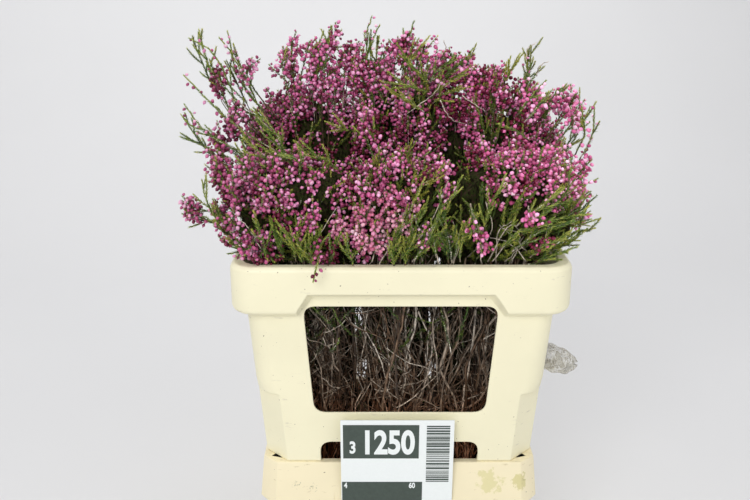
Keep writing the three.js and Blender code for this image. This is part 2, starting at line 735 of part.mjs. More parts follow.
// What the tops keep clear of: the collar's rim, a little enlarged
function rimKeepOut() {
  const low = SPLIT - 10;
  const high = RIM + 0.6;
  const outer = BAND_HALF.map((half) => half + 0.6);
  const block = solidOf(skin([ring(outer, BAND_ROUND, 1, low), ring(outer, BAND_ROUND, 1, high)]));
  const inside = (z) => ring(collarHalf(z, WALL + 0.6), COLLAR_ROUND - 2, 1, z);
  return block.subtract(solidOf(skin([inside(low - 5), inside(high + 5)])));
}

function topsSolid(bunch, draw) {
  const { cell, crown, bells, leaves } = bunch;
  const named = bells.map((place) => scattered(place, BELLS.scatter, draw));
  const spikes = [...named, ...fillTips(bunch, named, draw)].map((tip) => bellSpray(crown, tip));
  const twigs = leaves.map((place) => leafSpray(crown, scattered(place, LEAVES.scatter, draw), draw));
  const whole = wasm.Manifold.union([buildCore(bunch, draw), ...spikes, ...twigs]);
  return whole.intersect(wedge(cell)).subtract(rimKeepOut());
}

// Another draw is taken where twigs happen to touch along an edge
function buildTops(name, bunch, seed) {
  for (let attempt = 0; attempt < DRAWS; attempt += 1) {
    const geometry = geometryOf(topsSolid(bunch, draws(seed + attempt)), TOPS_SLIVER);
    if (edgesPair(geometry)) {
      addPiece(`${name}_tops`, 'tops', geometry);
      return;
    }
  }
  throw new Error(`${name}_tops touches itself in every draw`);
}

buildCollar();
buildBucket();
buildCard();
buildFilm();
Object.entries(BUNCHES).forEach(([name, bunch], i) => {
  const seed = 101 + 170 * i;
  buildStems(`bunch_${name}`, bunch.cell, draws(seed));
  buildTops(`bunch_${name}`, bunch, seed);
});

export default group;
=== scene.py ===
import math

import bmesh
import bpy
import numpy as np
from bpy.props import FloatProperty, FloatVectorProperty, IntProperty, PointerProperty
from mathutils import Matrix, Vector


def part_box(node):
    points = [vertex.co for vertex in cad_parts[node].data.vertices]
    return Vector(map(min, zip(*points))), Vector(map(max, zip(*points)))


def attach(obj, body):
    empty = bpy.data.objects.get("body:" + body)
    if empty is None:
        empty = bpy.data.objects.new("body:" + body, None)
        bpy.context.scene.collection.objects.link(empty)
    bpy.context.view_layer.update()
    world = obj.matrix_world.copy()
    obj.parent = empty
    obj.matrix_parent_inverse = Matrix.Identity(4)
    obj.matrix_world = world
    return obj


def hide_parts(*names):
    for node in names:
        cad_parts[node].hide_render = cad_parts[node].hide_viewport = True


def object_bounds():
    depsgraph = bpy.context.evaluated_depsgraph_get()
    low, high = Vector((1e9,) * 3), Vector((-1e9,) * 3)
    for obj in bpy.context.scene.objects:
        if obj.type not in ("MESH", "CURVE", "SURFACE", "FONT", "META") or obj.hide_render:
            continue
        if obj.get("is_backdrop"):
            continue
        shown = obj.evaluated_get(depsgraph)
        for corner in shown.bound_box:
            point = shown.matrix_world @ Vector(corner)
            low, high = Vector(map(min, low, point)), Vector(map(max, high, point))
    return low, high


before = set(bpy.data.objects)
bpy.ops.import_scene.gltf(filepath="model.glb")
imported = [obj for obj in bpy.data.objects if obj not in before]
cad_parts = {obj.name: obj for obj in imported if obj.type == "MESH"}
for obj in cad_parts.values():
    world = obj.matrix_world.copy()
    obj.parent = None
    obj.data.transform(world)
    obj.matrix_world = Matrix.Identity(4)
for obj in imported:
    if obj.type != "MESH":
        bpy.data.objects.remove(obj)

bl_info = {
    "name": "Cut Heath in a Flower Container",
    "version": (1, 0, 0),
    "blender": (4, 5, 0),
    "location": "View3D > Sidebar > Heath",
    "description": "Six bunches of cut heath standing in a bucket with a windowed collar",
    "category": "Add Mesh",
}

MM = 0.001
CAD_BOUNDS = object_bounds()
RIM = round(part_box("collar")[1].z / MM, 1)
BUCKET_TOP = round(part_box("bucket")[1].z / MM, 1)
# Angle between neighbours that never line up, in radians
GOLDEN = 2.39996

# Container sizes in millimetres, the same as its solids
WALL = 3
COLLAR_HALF = (168.5, 119.5)
COLLAR_FLARE = (0.0708, 0.0678)
COLLAR_ROUND = 24
CHAMFER = 29
CHAMFER_TOP = 94.5
CHAMFER_LIP = 1.5
CHAMFER_SLOPE = 18
BAND_HALF = (199, 149)
BAND_ROUND = 30
BAND_DEPTH = 56
# Raised middle of the band's lower edge: its top below the rim, and half widths in front and at the side
RAISE_TOP = 32.5
RAISE_HALF = 107.5
SIDE_RAISE_HALF = 62
LEDGE_HALF = (170.5, 121.5)
LEDGE_WIDTH = 8.5
SKIRT_HALF = (176.5, 127.5)
SKIRT_DEPTH = 58
BUCKET_WALL_HALF = (168, 119)
BASE_HALF = (150, 102)
CARD_WIDTH = 139
CARD_HEIGHT = 196
CARD_LEAN = math.radians(3.4)
CARD_FOOT = BUCKET_TOP + 67 - CARD_HEIGHT
# The card stands a little to the left of the middle
CARD_SHIFT = -3
# Channels in the skirt, left and right of the card
CHANNELS = ((-82, -76), (61, 67))
# Print lies between two distances off the card
PRINT = (0.05, 0.12)
# Windows: bottom and top below the rim, half widths there and the corners' reach
FRONT_WINDOW = (195.5, 52.5, 104.5, 114.5, 15)
SIDE_WINDOW = (188, 62, 56, 62, 15)
# Notch in the collar's lower edge: half height about the bucket's top, half width and the corners' reach
NOTCH = (28, 98, 14)
# Every cutter runs this far to both sides of the middle
CUT_REACH = 300

# Heath: cells fan out from the floor to the rim and on, three by two
FAN_FOOT = (118, 74)
FAN_RIM = (172, 122)
SPLIT = RIM - 20
TIE_HEIGHT = 120
TIE_RADIUS = 17
# Heights on a stem's way from its rubber band to the rim, and how far the sheaf has opened there
STEM_HEIGHTS = np.array((196, 250, 300, 350, 400, 445))
STEM_OPENED = np.array((0.42, 0.72, 0.92, 1.02, 1.02, 0.98))
# Share of a spike's bells that are still shut
BUD_SHARE = 0.36

# Each bunch: its cell, its crown as a middle and half sizes, and its named clumps of flowers and greens.
# Places are millimetres to the right, to the back and above the rim.
BUNCHES = {
    "front_left": {
        "cell": (-1, -1),
        "middle": (-138, -66, 42),
        "half": (86, 70, 78),
        "bells": [
            (-225, -40, 90), (-195, -90, 65), (-178, -125, 28), (-262, -60, 52), (-134, -100, 80),
            (-116, -132, 40), (-94, -140, 16), (-150, -60, 110), (-72, -125, 48), (-224, -50, 100),
            (-231, -34, 115), (-208, -60, 89),
        ],
        "leaves": [
            (-205, -82, 20), (-264, -20, 150), (-84, -100, 76),
        ],
    },
    "front_middle": {
        "cell": (0, -1),
        "middle": (0, -68, 42),
        "half": (72, 70, 80),
        "bells": [
            (-44, -142, 72), (-18, -136, 84), (-38, -152, 40), (-6, -146, 56), (48, -90, 100),
            (0, -60, 120), (-40, -40, 140),
        ],
        "leaves": [
            (18, -132, 58), (44, -132, 28), (26, -112, 80), (-20, -80, 104),
        ],
    },
    "front_right": {
        "cell": (1, -1),
        "middle": (142, -66, 42),
        "half": (86, 70, 80),
        "bells": [
            (94, -60, 118), (143, -50, 128), (193, -40, 114), (238, -14, 96), (222, -40, 52),
            (200, -62, 84), (150, -96, 100), (106, -104, 92),
        ],
        "leaves": [
            (139, -92, 78), (184, -82, 62), (166, -98, 16), (112, -128, 22), (212, -60, 30),
        ],
    },
    "back_left": {
        "cell": (-1, 1),
        "middle": (-124, 70, 74),
        "half": (84, 72, 104),
        "bells": [
            (-230, 18, 196), (-186, 14, 126), (-136, 30, 214), (-93, 40, 232), (-124, 18, 168),
            (-205, 62, 92), (-188, 110, 82), (-148, 90, 150), (-118, 132, 110), (-166, 142, 42),
            (-105, 40, 240), (-86, 42, 244), (-68, 44, 230), (-72, 60, 178), (-70, 28, 140),
            (-140, 40, 224), (-114, 40, 208), (-98, 26, 190), (-122, 22, 186), (-78, 36, 208),
            (-80, 30, 190), (-233, 4, 125), (-216, 6, 140), (-201, 8, 160),
        ],
        "leaves": [
            (-254, 18, 240), (-206, 24, 224), (-238, 84, 60), (-100, 152, 62),
        ],
    },
    "back_middle": {
        "cell": (0, 1),
        "middle": (0, 70, 92),
        "half": (72, 72, 114),
        "bells": [
            (-52, 40, 218), (-6, 40, 232), (-46, 16, 164), (2, 16, 156), (46, 40, 214),
            (-30, 92, 200), (30, 102, 180), (0, 140, 120), (-40, 150, 70), (-58, 44, 224),
            (7, 40, 246), (32, 42, 234), (54, 44, 222), (-64, 60, 150), (62, 60, 182), (60, 30, 140),
            (56, 40, 196), (50, 28, 170), (-44, 40, 200), (-20, 40, 214), (18, 40, 226),
            (-62, 30, 192), (-60, 34, 208), (66, 40, 150),
        ],
        "leaves": [
            (-38, 40, 246), (32, 22, 192), (40, 152, 60), (12, 160, 100),
        ],
    },
    "back_right": {
        "cell": (1, 1),
        "middle": (142, 70, 66),
        "half": (86, 72, 98),
        "bells": [
            (76, 32, 214), (86, 38, 152), (92, 34, 162), (124, 18, 176), (173, 18, 168),
            (222, 16, 174), (214, 52, 120), (110, 80, 190), (160, 92, 150), (198, 112, 98),
            (120, 142, 110), (160, 150, 48), (66, 40, 220), (60, 34, 196), (70, 26, 176),
            (88, 40, 198), (97, 34, 182), (82, 30, 188), (84, 42, 216), (107, 40, 188),
            (122, 38, 178), (135, 36, 182), (104, 40, 200), (121, 42, 200), (136, 40, 204),
            (160, 40, 190), (181, 40, 178), (200, 40, 170), (218, 38, 166),
        ],
        "leaves": [
            (92, 22, 168), (242, 16, 154), (226, 92, 58), (92, 152, 70), (160, 30, 226),
        ],
    },
}
# The one clump whose bells are pale salmon pink
PALE_MIDDLE = np.array((-28, -146, 60))
PALE_REACH = 46
# Sprigs with a place of their own, root first: a plume of needled shoots, a needled shoot with
# scattered bells ("needles", or "few" with more but faded ones), a spike of bells, or a bare twig
LOOSE = {
    "front_left": [
        ("needles", [
            (-178, -36, 96), (-210, -38, 120), (-239, -40, 139), (-250, -40, 143), (-262, -40, 157),
        ]),
        ("needles", [(-186, -38, 108), (-226, -40, 130), (-244, -42, 150), (-256, -44, 169)]),
        ("needles", [(-150, -30, 110), (-200, -30, 142), (-232, -30, 174), (-257, -30, 201)]),
        ("bells", [(-168, -50, 30), (-205, -60, 38), (-240, -60, 44), (-262, -60, 55)]),
        ("needles", [(-170, -60, 10), (-210, -66, 26), (-240, -66, 38)]),
        ("few", [(-84, -128, 8), (-92, -148, 16), (-95, -163, 10), (-99, -168, -8)]),
        ("bare", [(-110, -96, -2), (-96, -122, 30), (-74, -132, 66)]),
        ("plume", [(-133, -70, 108), (-150, -70, 146), (-173, -70, 167)]),
        ("plume", [(-126, -74, 97), (-146, -74, 130), (-166, -74, 154)]),
        ("plume", [(-135, -78, 83), (-158, -78, 112), (-182, -78, 136)]),
        ("plume", [(-163, -84, 75), (-176, -84, 99), (-189, -84, 125)]),
        ("plume", [(-92, -90, 91), (-117, -90, 112), (-154, -90, 122)]),
        ("plume", [(-72, -70, 94), (-93, -70, 110), (-121, -70, 122)]),
        ("plume", [(-117, -110, 31), (-135, -110, 52), (-142, -110, 63)]),
        ("plume", [(-110, -125, 5), (-116, -125, 26), (-121, -125, 43)]),
        ("plume", [(-151, -130, 1), (-159, -130, 28), (-165, -130, 49)]),
        ("plume", [(-135, -132, 2), (-141, -132, 26), (-149, -132, 50)]),
        ("plume", [(-121, -134, 3), (-125, -134, 24), (-133, -134, 43)]),
        ("plume", [(-103, -134, 3), (-100, -134, 22), (-97, -134, 39)]),
        ("plume", [(-185, -100, 4), (-205, -100, 33), (-218, -100, 60)]),
        ("plume", [(-207, -90, 25), (-226, -90, 57), (-232, -90, 89)]),
        ("bare", [(-160, -128, 15), (-175, -128, 42), (-188, -128, 58)]),
        ("bells", [(-165, -136, 35), (-173, -136, 18), (-166, -136, 6)]),
        ("bells", [(-159, -134, 24), (-153, -134, 12), (-146, -134, 3)]),
        ("plume", [(-100, -138, -2), (-104, -138, 14), (-110, -138, 30)]),
        ("plume", [(-112, -136, 0), (-115, -136, 18), (-122, -136, 36)]),
        ("plume", [(-84, -138, -2), (-80, -138, 12), (-76, -138, 28)]),
    ],
    "front_middle": [
        ("bare", [(-14, -90, 0), (30, -128, 44), (52, -126, 96)]),
        ("bare", [(34, -96, -4), (12, -126, 30), (-4, -140, 62)]),
        ("plume", [(-2, -140, 5), (12, -140, 36), (24, -140, 71)]),
        ("plume", [(12, -140, 5), (30, -140, 31), (43, -140, 62)]),
        ("plume", [(-4, -136, 23), (7, -136, 60), (20, -136, 88)]),
        ("plume", [(32, -136, 39), (47, -136, 70), (67, -136, 91)]),
        ("plume", [(-15, -138, 4), (-6, -138, 26), (-2, -138, 47)]),
        ("plume", [(10, -100, 67), (26, -100, 86), (51, -100, 103)]),
        ("bare", [(-34, -130, 1), (-27, -130, 28), (-34, -130, 45)]),
        ("plume", [(24, -134, 4), (22, -134, 22), (20, -134, 38)]),
        ("plume", [(40, -134, 8), (36, -134, 34), (33, -134, 54)]),
        ("plume", [(54, -136, 2), (52, -136, 20), (47, -136, 34)]),
        ("plume", [(60, -136, 6), (64, -136, 30), (68, -136, 46)]),
        ("plume", [(4, -138, -2), (6, -138, 14), (8, -138, 28)]),
        ("plume", [(-8, -140, -2), (-9, -140, 12), (-12, -140, 28)]),
        ("plume", [(-54, -140, -2), (-58, -140, 14), (-64, -140, 30)]),
        ("bare", [(-26, -134, -2), (-14, -134, 22), (-22, -134, 44)]),
        ("bare", [(14, -130, -2), (24, -130, 30), (16, -130, 52)]),
        ("bare", [(44, -132, -2), (38, -132, 24), (50, -132, 44)]),
        ("bare", [(60, -130, -2), (66, -130, 26), (58, -130, 50)]),
    ],
    "front_right": [
        ("bare", [(160, -96, -6), (132, -120, 26), (112, -124, 44)]),
        ("bare", [(186, -90, -8), (168, -110, 20), (176, -106, 52)]),
        ("bare", [(80, -96, -4), (104, -120, 34), (96, -118, 70)]),
        ("needles", [(176, -70, 50), (206, -76, 74), (232, -74, 86)]),
        ("needles", [(150, -86, 44), (186, -96, 60), (222, -94, 70)]),
        ("bells", [(170, -30, 100), (200, -24, 130), (218, -20, 158)]),
        ("plume", [(58, -140, 4), (52, -140, 36), (42, -140, 71)]),
        ("plume", [(67, -140, 5), (68, -140, 31), (81, -140, 62)]),
        ("plume", [(93, -138, 40), (98, -138, 70), (115, -138, 96)]),
        ("plume", [(112, -136, 18), (129, -136, 37), (169, -136, 51)]),
        ("plume", [(126, -134, 15), (157, -134, 39), (197, -134, 51)]),
        ("plume", [(135, -128, 32), (171, -128, 51), (214, -128, 58)]),
        ("plume", [(131, -126, 43), (157, -126, 67), (178, -126, 83)]),
        ("plume", [(147, -124, 48), (175, -124, 69), (194, -124, 97)]),
        ("plume", [(147, -134, 8), (165, -134, 24), (187, -134, 32)]),
        ("plume", [(153, -130, 1), (173, -130, 9), (191, -130, 14)]),
        ("plume", [(112, -120, 25), (124, -120, 49), (135, -120, 68)]),
        ("needles", [(218, -40, 102), (230, -40, 128), (231, -40, 166)]),
        ("needles", [(211, -40, 106), (221, -40, 133), (216, -40, 165)]),
        ("needles", [(132, -70, 158), (149, -70, 181), (166, -70, 201)]),
        ("needles", [(143, -72, 153), (160, -72, 174), (173, -72, 190)]),
        ("needles", [(150, -76, 133), (131, -76, 145), (111, -76, 152)]),
        ("bare", [(100, -126, 0), (122, -126, 43), (138, -126, 36)]),
        ("bare", [(105, -128, 1), (127, -128, 27), (143, -128, 15)]),
        ("bare", [(110, -124, -3), (111, -124, 36), (126, -124, 48)]),
        ("bare", [(128, -126, -2), (136, -126, 31), (115, -126, 41)]),
        ("bare", [(144, -128, 1), (125, -128, 23), (101, -128, 30)]),
        ("bare", [(120, -122, -1), (139, -122, 18), (152, -122, 35)]),
        ("bare", [(93, -130, -1), (90, -130, 28), (96, -130, 45)]),
        ("bells", [(78, -142, 64), (88, -142, 41), (100, -142, 20)]),
        ("bells", [(76, -142, 74), (81, -142, 53), (84, -142, 32)]),
        ("bells", [(141, -140, 71), (143, -140, 62), (148, -140, 52)]),
        ("bells", [(191, -60, 16), (210, -60, 27), (230, -60, 42)]),
    ],
    "back_left": [
        ("needles", [
            (-150, 10, 140), (-196, -2, 157), (-208, -4, 188), (-225, -4, 224), (-254, -4, 243),
        ]),
        ("needles", [(-160, 16, 140), (-189, 14, 175), (-200, 12, 212), (-219, 10, 241)]),
        ("needles", [(-170, 20, 150), (-200, 20, 192), (-206, 20, 216), (-211, 20, 248)]),
        ("bells", [(-150, 14, 140), (-178, 12, 176), (-188, 10, 200), (-181, 10, 218)]),
        ("bells", [(-160, 6, 130), (-200, 0, 168), (-220, 0, 190), (-231, 0, 207)]),
    ],
    "back_middle": [
        ("needles", [(-44, 40, 190), (-41, 40, 225), (-40, 40, 250), (-34, 40, 266)]),
        ("needles", [(-46, 40, 180), (-40, 40, 216), (-36, 40, 234), (-25, 40, 254)]),
        ("needles", [(2, 40, 200), (12, 40, 236), (18, 40, 259)]),
        ("few", [(-90, 40, 212), (-88, 40, 240), (-85, 40, 253)]),
        ("bare", [(10, 10, 150), (40, 8, 172), (52, 6, 190)]),
        ("plume", [(37, 10, 186), (18, 10, 206), (0, 10, 222)]),
        ("plume", [(38, 8, 176), (11, 8, 184), (-14, 8, 188)]),
        ("plume", [(31, 6, 152), (11, 6, 167), (-9, 6, 175)]),
        ("plume", [(1, 30, 201), (16, 30, 218), (31, 30, 233)]),
        ("plume", [(-59, 0, 131), (-69, 0, 133), (-72, 0, 141)]),
        ("bare", [(47, 40, 215), (59, 40, 225), (56, 40, 237)]),
    ],
    "back_right": [
        ("plume", [(36, 20, 185), (48, 20, 202), (70, 20, 215)]),
        ("plume", [(39, 18, 170), (58, 18, 188), (85, 18, 198)]),
        ("plume", [(41, 16, 161), (56, 16, 173), (81, 16, 181)]),
        ("plume", [(51, 24, 190), (71, 24, 207), (92, 24, 221)]),
        ("plume", [(131, 20, 185), (140, 20, 205), (149, 20, 217)]),
        ("needles", [(161, 20, 180), (159, 20, 200), (155, 20, 219)]),
        ("bare", [(156, 20, 210), (158, 20, 227), (168, 20, 236)]),
        ("bare", [(171, 20, 195), (174, 20, 207), (185, 20, 213)]),
        ("bare", [(50, 0, 168), (63, 0, 146), (83, 0, 138)]),
        ("bare", [(76, -10, 175), (91, -10, 165), (106, -10, 155)]),
        ("needles", [(183, 0, 163), (192, 0, 176), (203, 0, 186)]),
    ],
}


# Settings shown in the sidebar


def colour_setting(name, description, value):
    """A colour setting that holds an sRGB hex value as its default."""
    return FloatVectorProperty(
        name=name, description=description, subtype="COLOR", size=3, min=0, max=1, default=linear(value)
    )


def linear(value):
    """Linear colour from an sRGB hex value such as 0xF4EFCF."""
    channels = [((value >> shift) & 255) / 255 for shift in (16, 8, 0)]
    return tuple(c / 12.92 if c <= 0.04045 else ((c + 0.055) / 1.055) ** 2.4 for c in channels)


class ContainerSettings(bpy.types.PropertyGroup):
    """Sizes and colours of the bucket, the collar and the card"""

    edge: FloatProperty(
        name="Edge rounding",
        description="Radius of the moulded edges",
        default=1.3 * MM,
        min=0,
        unit="LENGTH",
    )
    collar: colour_setting("Collar", "Cream of the moulded collar", 0xFAF4D3)
    bucket: colour_setting("Bucket", "Warmer cream of the bucket", 0xFBEFCB)
    card: colour_setting("Card", "White of the card", 0xF5FAF9)
    ink: colour_setting("Ink", "Dark print on the card", 0x434F48)


class HeathSettings(bpy.types.PropertyGroup):
    """Numbers, sizes and colours of the heath"""

    seed: IntProperty(name="Seed", description="Seed of every random draw", default=11, min=0)
    stems: IntProperty(name="Stems", description="Woody stems in each bunch", default=52, min=6)
    bell_length: FloatProperty(
        name="Bell length", description="Length of one bell", default=6.5 * MM, min=MM, unit="LENGTH"
    )
    needle_length: FloatProperty(
        name="Needle length", description="Length of one needle", default=4.9 * MM, min=MM, unit="LENGTH"
    )
    bells: colour_setting("Bells", "Magenta of most bells", 0xD96BA2)
    pale_bells: colour_setting("Pale bells", "Salmon pink of the pale clump", 0xE59BBB)
    needles: colour_setting("Needles", "Green of the needles", 0x5F8230)
    bark: colour_setting("Bark", "Grey brown of the stems", 0x806248)


class StageSettings(bpy.types.PropertyGroup):
    """Camera and light"""

    lens: FloatProperty(name="Lens", description="Focal length on a 36 mm sensor", default=42.81, min=10)
    key: FloatProperty(
        name="Key light", description="Power in watts that every soft box takes a share of", default=32, min=0
    )
    backdrop: colour_setting("Backdrop", "Pale grey of the seamless paper", 0xDEDEDF)


# Meshes


class Stock:
    """Points in millimetres, faces, a finish for each face and two tones for each point: one mesh"""

    def __init__(self):
        self.points, self.faces, self.finishes, self.tones, self.count = [], [], [], [], 0

    def add(self, points, faces, finish=0, tone=(0.5, 0.5)):
        """Points and faces that share a finish; the tones are one pair, or a pair for each point."""
        points = np.asarray(points, float)
        tone = np.broadcast_to(np.asarray(tone, float), (len(points), 2))
        faces = np.asarray(faces, np.int64)
        self.points.append(points)
        self.tones.append(tone)
        self.faces.append(faces + self.count)
        self.finishes.append(np.full(len(faces), finish, np.int32))
        self.count += len(points)

    def copies(self, form, places, turns, sizes, finish, tones):
        """One copy of a form at each place, turned by its matrix and scaled by its three sizes."""
        points, faces, along = form
        many = len(places)
        if not many:
            return
        scaled = points[None] * np.asarray(sizes)[:, None]
        moved = np.einsum("nij,nvj->nvi", turns, scaled) + places[:, None]
        index = faces[None] + (np.arange(many) * len(points))[:, None, None]
        own = np.repeat(np.asarray(tones, float)[:, None], len(points), 1)
        tone = np.stack([np.broadcast_to(along, (many, len(points))), own], -1)
        self.add(moved.reshape(-1, 3), index.reshape(-1, faces.shape[1]), finish, tone.reshape(-1, 2))

    def closed(self, rings, ends, finish, tone):
        """Closed skin through rings of points, drawn together at a point at each end."""
        sides = len(rings[0])
        points = np.concatenate([[ends[0]], *rings, [ends[1]]])
        first = 1 + np.arange(sides)
        after = 1 + (np.arange(sides) + 1) % sides
        rows = (np.arange(len(rings) - 1) * sides)[:, None]
        quads = np.stack([first + rows, after + rows, after + sides + rows, first + sides + rows], -1)
        top = (len(rings) - 1) * sides
        low = np.stack([first * 0, after, first], -1)
        high = np.stack([first * 0 + len(points) - 1, first + top, after + top], -1)
        start = self.count
        self.add(points, quads.reshape(-1, 4), finish, tone)
        self.faces.append(np.concatenate([low, high]) + start)
        self.finishes.append(np.full(2 * sides, finish, np.int32))

    def mesh(self, name, smooth=True):
        """Blender mesh in metres of all that was added, with the tones as a point colour."""
        corners = [block.reshape(-1) for block in self.faces]
        sizes = np.concatenate([np.full(len(block), block.shape[1], np.int32) for block in self.faces])
        starts = np.concatenate([[0], np.cumsum(sizes)[:-1]])
        made = bpy.data.meshes.new(name)
        made.vertices.add(self.count)
        made.vertices.foreach_set("co", (np.concatenate(self.points) * MM).astype(np.float32).ravel())
        made.loops.add(int(sizes.sum()))
        made.loops.foreach_set("vertex_index", np.concatenate(corners).astype(np.int32))
        made.polygons.add(len(sizes))
        made.polygons.foreach_set("loop_start", starts.astype(np.int32))
        made.polygons.foreach_set("material_index", np.concatenate(self.finishes))
        made.polygons.foreach_set("use_smooth", np.full(len(sizes), smooth))
        tone = np.concatenate(self.tones)
        colour = np.column_stack([tone, np.zeros(len(tone)), np.ones(len(tone))]).astype(np.float32)
        made.attributes.new("tone", "FLOAT_COLOR", "POINT").data.foreach_set("color", colour.ravel())
        made.update(calc_edges=True)
        made.validate()
        return made


def place_piece(name, mesh, materials, nodes=()):
    """Object of a mesh that rides on the body and stands for its solids."""
    if not mesh.polygons:
        raise RuntimeError(f"{name} came out empty")
    made = bpy.data.objects.new(name, mesh)
    bpy.context.scene.collection.objects.link(made)
    for material in materials:
        made.data.materials.append(material)
    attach(made, "root")
    if nodes:
        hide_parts(*nodes)
    return made


def apply_modifiers(made):
    """The object's mesh becomes what its modifiers show."""
    shown = made.evaluated_get(bpy.context.evaluated_depsgraph_get())
    made.data = bpy.data.meshes.new_from_object(shown)
    made.modifiers.clear()


def facet(made):
    """Flat shading, for sheets and plates."""
    for face in made.data.polygons:
        face.use_smooth = False


def unit(vectors):
    """Vectors of length one in the same directions."""
    vectors = np.asarray(vectors, float)
    return vectors / np.maximum(np.linalg.norm(vectors, axis=-1, keepdims=True), 1e-9)


def frames_along(directions, spin):
    """Rotation matrices whose third column is each direction, spun about it."""
    w = unit(directions)
    other = np.where(np.abs(w[:, 2:3]) < 0.9, [[0.0, 0, 1]], [[1.0, 0, 0]])
    u = unit(np.cross(other, w))
    v = np.cross(w, u)
    c, s = np.cos(spin)[:, None], np.sin(spin)[:, None]
    return np.stack([u * c + v * s, v * c - u * s, w], -1)


def add_tube(stock, points, radii, sides, tone=0.5):
    """Closed tube along points, its rings turned as little as the path allows."""
    points = np.asarray(points, float)
    tangents = unit(np.gradient(points, axis=0))
    side = np.cross(tangents[0], (0.3, 0.9, 0.2))
    rings = []
    angles = np.arange(sides) * 2 * math.pi / sides
    for point, tangent, radius in zip(points, tangents, radii):
        side = unit(side - tangent * side.dot(tangent))
        other = np.cross(tangent, side)
        rings.append(point + radius * (np.outer(np.cos(angles), side) + np.outer(np.sin(angles), other)))
    along = np.concatenate([[0], np.repeat(np.linspace(0, 1, len(points)), sides), [1]])
    stock.closed(rings, points[[0, -1]], 0, np.stack([along, np.full(len(along), tone)], -1))


def bezier(a, b, c, d, steps):
    """Points along the cubic curve from a to d that b and c pull on."""
    t = np.linspace(0, 1, steps)[:, None]
    a, b, c, d = (np.asarray(p, float) for p in (a, b, c, d))
    return a * (1 - t) ** 3 + 3 * b * t * (1 - t) ** 2 + 3 * c * t * t * (1 - t) + d * t**3


# Container


def ring(half, cut, bulge, z, steps=12):
    """Rectangle with corners that reach `cut` along each side: bulge 1 rounds them, 0 chamfers them."""
    points = []
    for quarter in range(4):
        start = quarter * math.pi / 2
        sign = (1 if quarter in (0, 3) else -1, 1 if quarter < 2 else -1)
        for i in range(steps + 1):
            t = i / steps
            arc = start + t * math.pi / 2
            straight = (
                math.cos(start) * (1 - t) + math.cos(start + math.pi / 2) * t,
                math.sin(start) * (1 - t) + math.sin(start + math.pi / 2) * t,
            )
            x = straight[0] + (math.cos(arc) - straight[0]) * bulge
            y = straight[1] + (math.sin(arc) - straight[1]) * bulge
            points.append((sign[0] * (half[0] - cut) + cut * x, sign[1] * (half[1] - cut) + cut * y, z))
    return points


def skin(rings, name="form"):
    """Closed mesh object through rings of points listed from the bottom up."""
    shape = bmesh.new()
    rows = [[shape.verts.new(Vector(p) * MM) for p in row] for row in rings]
    for low, high in zip(rows, rows[1:]):
        for i in range(len(low)):
            j = (i + 1) % len(low)
            shape.faces.new((low[i], low[j], high[j], high[i]))
    shape.faces.new(rows[0][::-1])
    shape.faces.new(rows[-1])
    bmesh.ops.remove_doubles(shape, verts=shape.verts, dist=1e-6)
    mesh = bpy.data.meshes.new(name)
    shape.to_mesh(mesh)
    shape.free()
    made = bpy.data.objects.new(name, mesh)
    bpy.context.scene.collection.objects.link(made)
    return made


def block(low, high):
    """Box between two corners, as a form to join or to cut with."""
    plan = [(low[0], low[1]), (high[0], low[1]), (high[0], high[1]), (low[0], high[1])]
    return skin([[(x, y, z) for x, y in plan] for z in (low[2], high[2])])


def combine(body, other, how):
    """Joins another object to the body or cuts it away, which uses it up."""
    step = body.modifiers.new("combine", "BOOLEAN")
    step.operation, step.solver, step.object = how, "EXACT", other
    apply_modifiers(body)
    bpy.data.objects.remove(other)


def opening(low, high, half_low, half_high, corner, sideways=False, steps=8):
    """Four-sided opening with rounded corners, as a cutter that runs through along Y, or along X."""
    outline = [(-half_low, low), (half_low, low), (half_high, high), (-half_high, high)]
    points = []
    for i, place in enumerate(outline):
        here, before, after = (Vector(p) for p in (place, outline[i - 1], outline[(i + 1) % 4]))
        enter = here + (before - here).normalized() * corner
        leave = here + (after - here).normalized() * corner
        for s in range(steps + 1):
            t = s / steps
            points.append(enter * (1 - t) ** 2 + here * 2 * t * (1 - t) + leave * t * t)
    if sideways:
        rows = [[(out, p.x, p.y) for p in points] for out in (-CUT_REACH, CUT_REACH)]
    else:
        rows = [[(-p.x, out, p.y) for p in points] for out in (-CUT_REACH, CUT_REACH)]
    return skin(rows)


def soften(made, radius, angle=32, segments=3):
    """Rounds every edge sharper than an angle, which leaves the light a line to catch, as moulding does."""
    shape = bmesh.new()
    shape.from_mesh(made.data)
    bmesh.ops.remove_doubles(shape, verts=shape.verts, dist=0.25 * MM)
    bmesh.ops.dissolve_limit(
        shape,
        angle_limit=math.radians(0.8),
        verts=shape.verts,
        edges=shape.edges,
        use_dissolve_boundaries=False,
    )
    bmesh.ops.dissolve_degenerate(shape, dist=0.2 * MM, edges=shape.edges)
    sharp = math.radians(angle)
    edges = [e for e in shape.edges if len(e.link_faces) == 2 and e.calc_face_angle() > sharp]
    bmesh.ops.bevel(
        shape, geom=edges, offset=radius, segments=segments, profile=0.5, affect="EDGES", clamp_overlap=True
    )
    many_sided = [f for f in shape.faces if len(f.verts) > 4]
    bmesh.ops.triangulate(shape, faces=many_sided, ngon_method="BEAUTY")
    bmesh.ops.recalc_face_normals(shape, faces=shape.faces)
    for face in shape.faces:
        face.smooth = True
    shape.to_mesh(made.data)
    shape.free()
    step = made.modifiers.new("normals", "WEIGHTED_NORMAL")
    step.weight, step.keep_sharp = 90, False
    apply_modifiers(made)


def finish_form(made, name, material, node):
    """A form that is ready takes its name, finish, body and the solid that it stands for."""
    made.name = made.data.name = name
    made.data.materials.clear()
    made.data.materials.append(material)
    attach(made, "root")
    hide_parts(node)


def collar_half(z, inset=0):
    """Half width and half depth of the collar's wall at a height."""
    return tuple(h + f * (z - BUCKET_TOP) - inset for h, f in zip(COLLAR_HALF, COLLAR_FLARE))


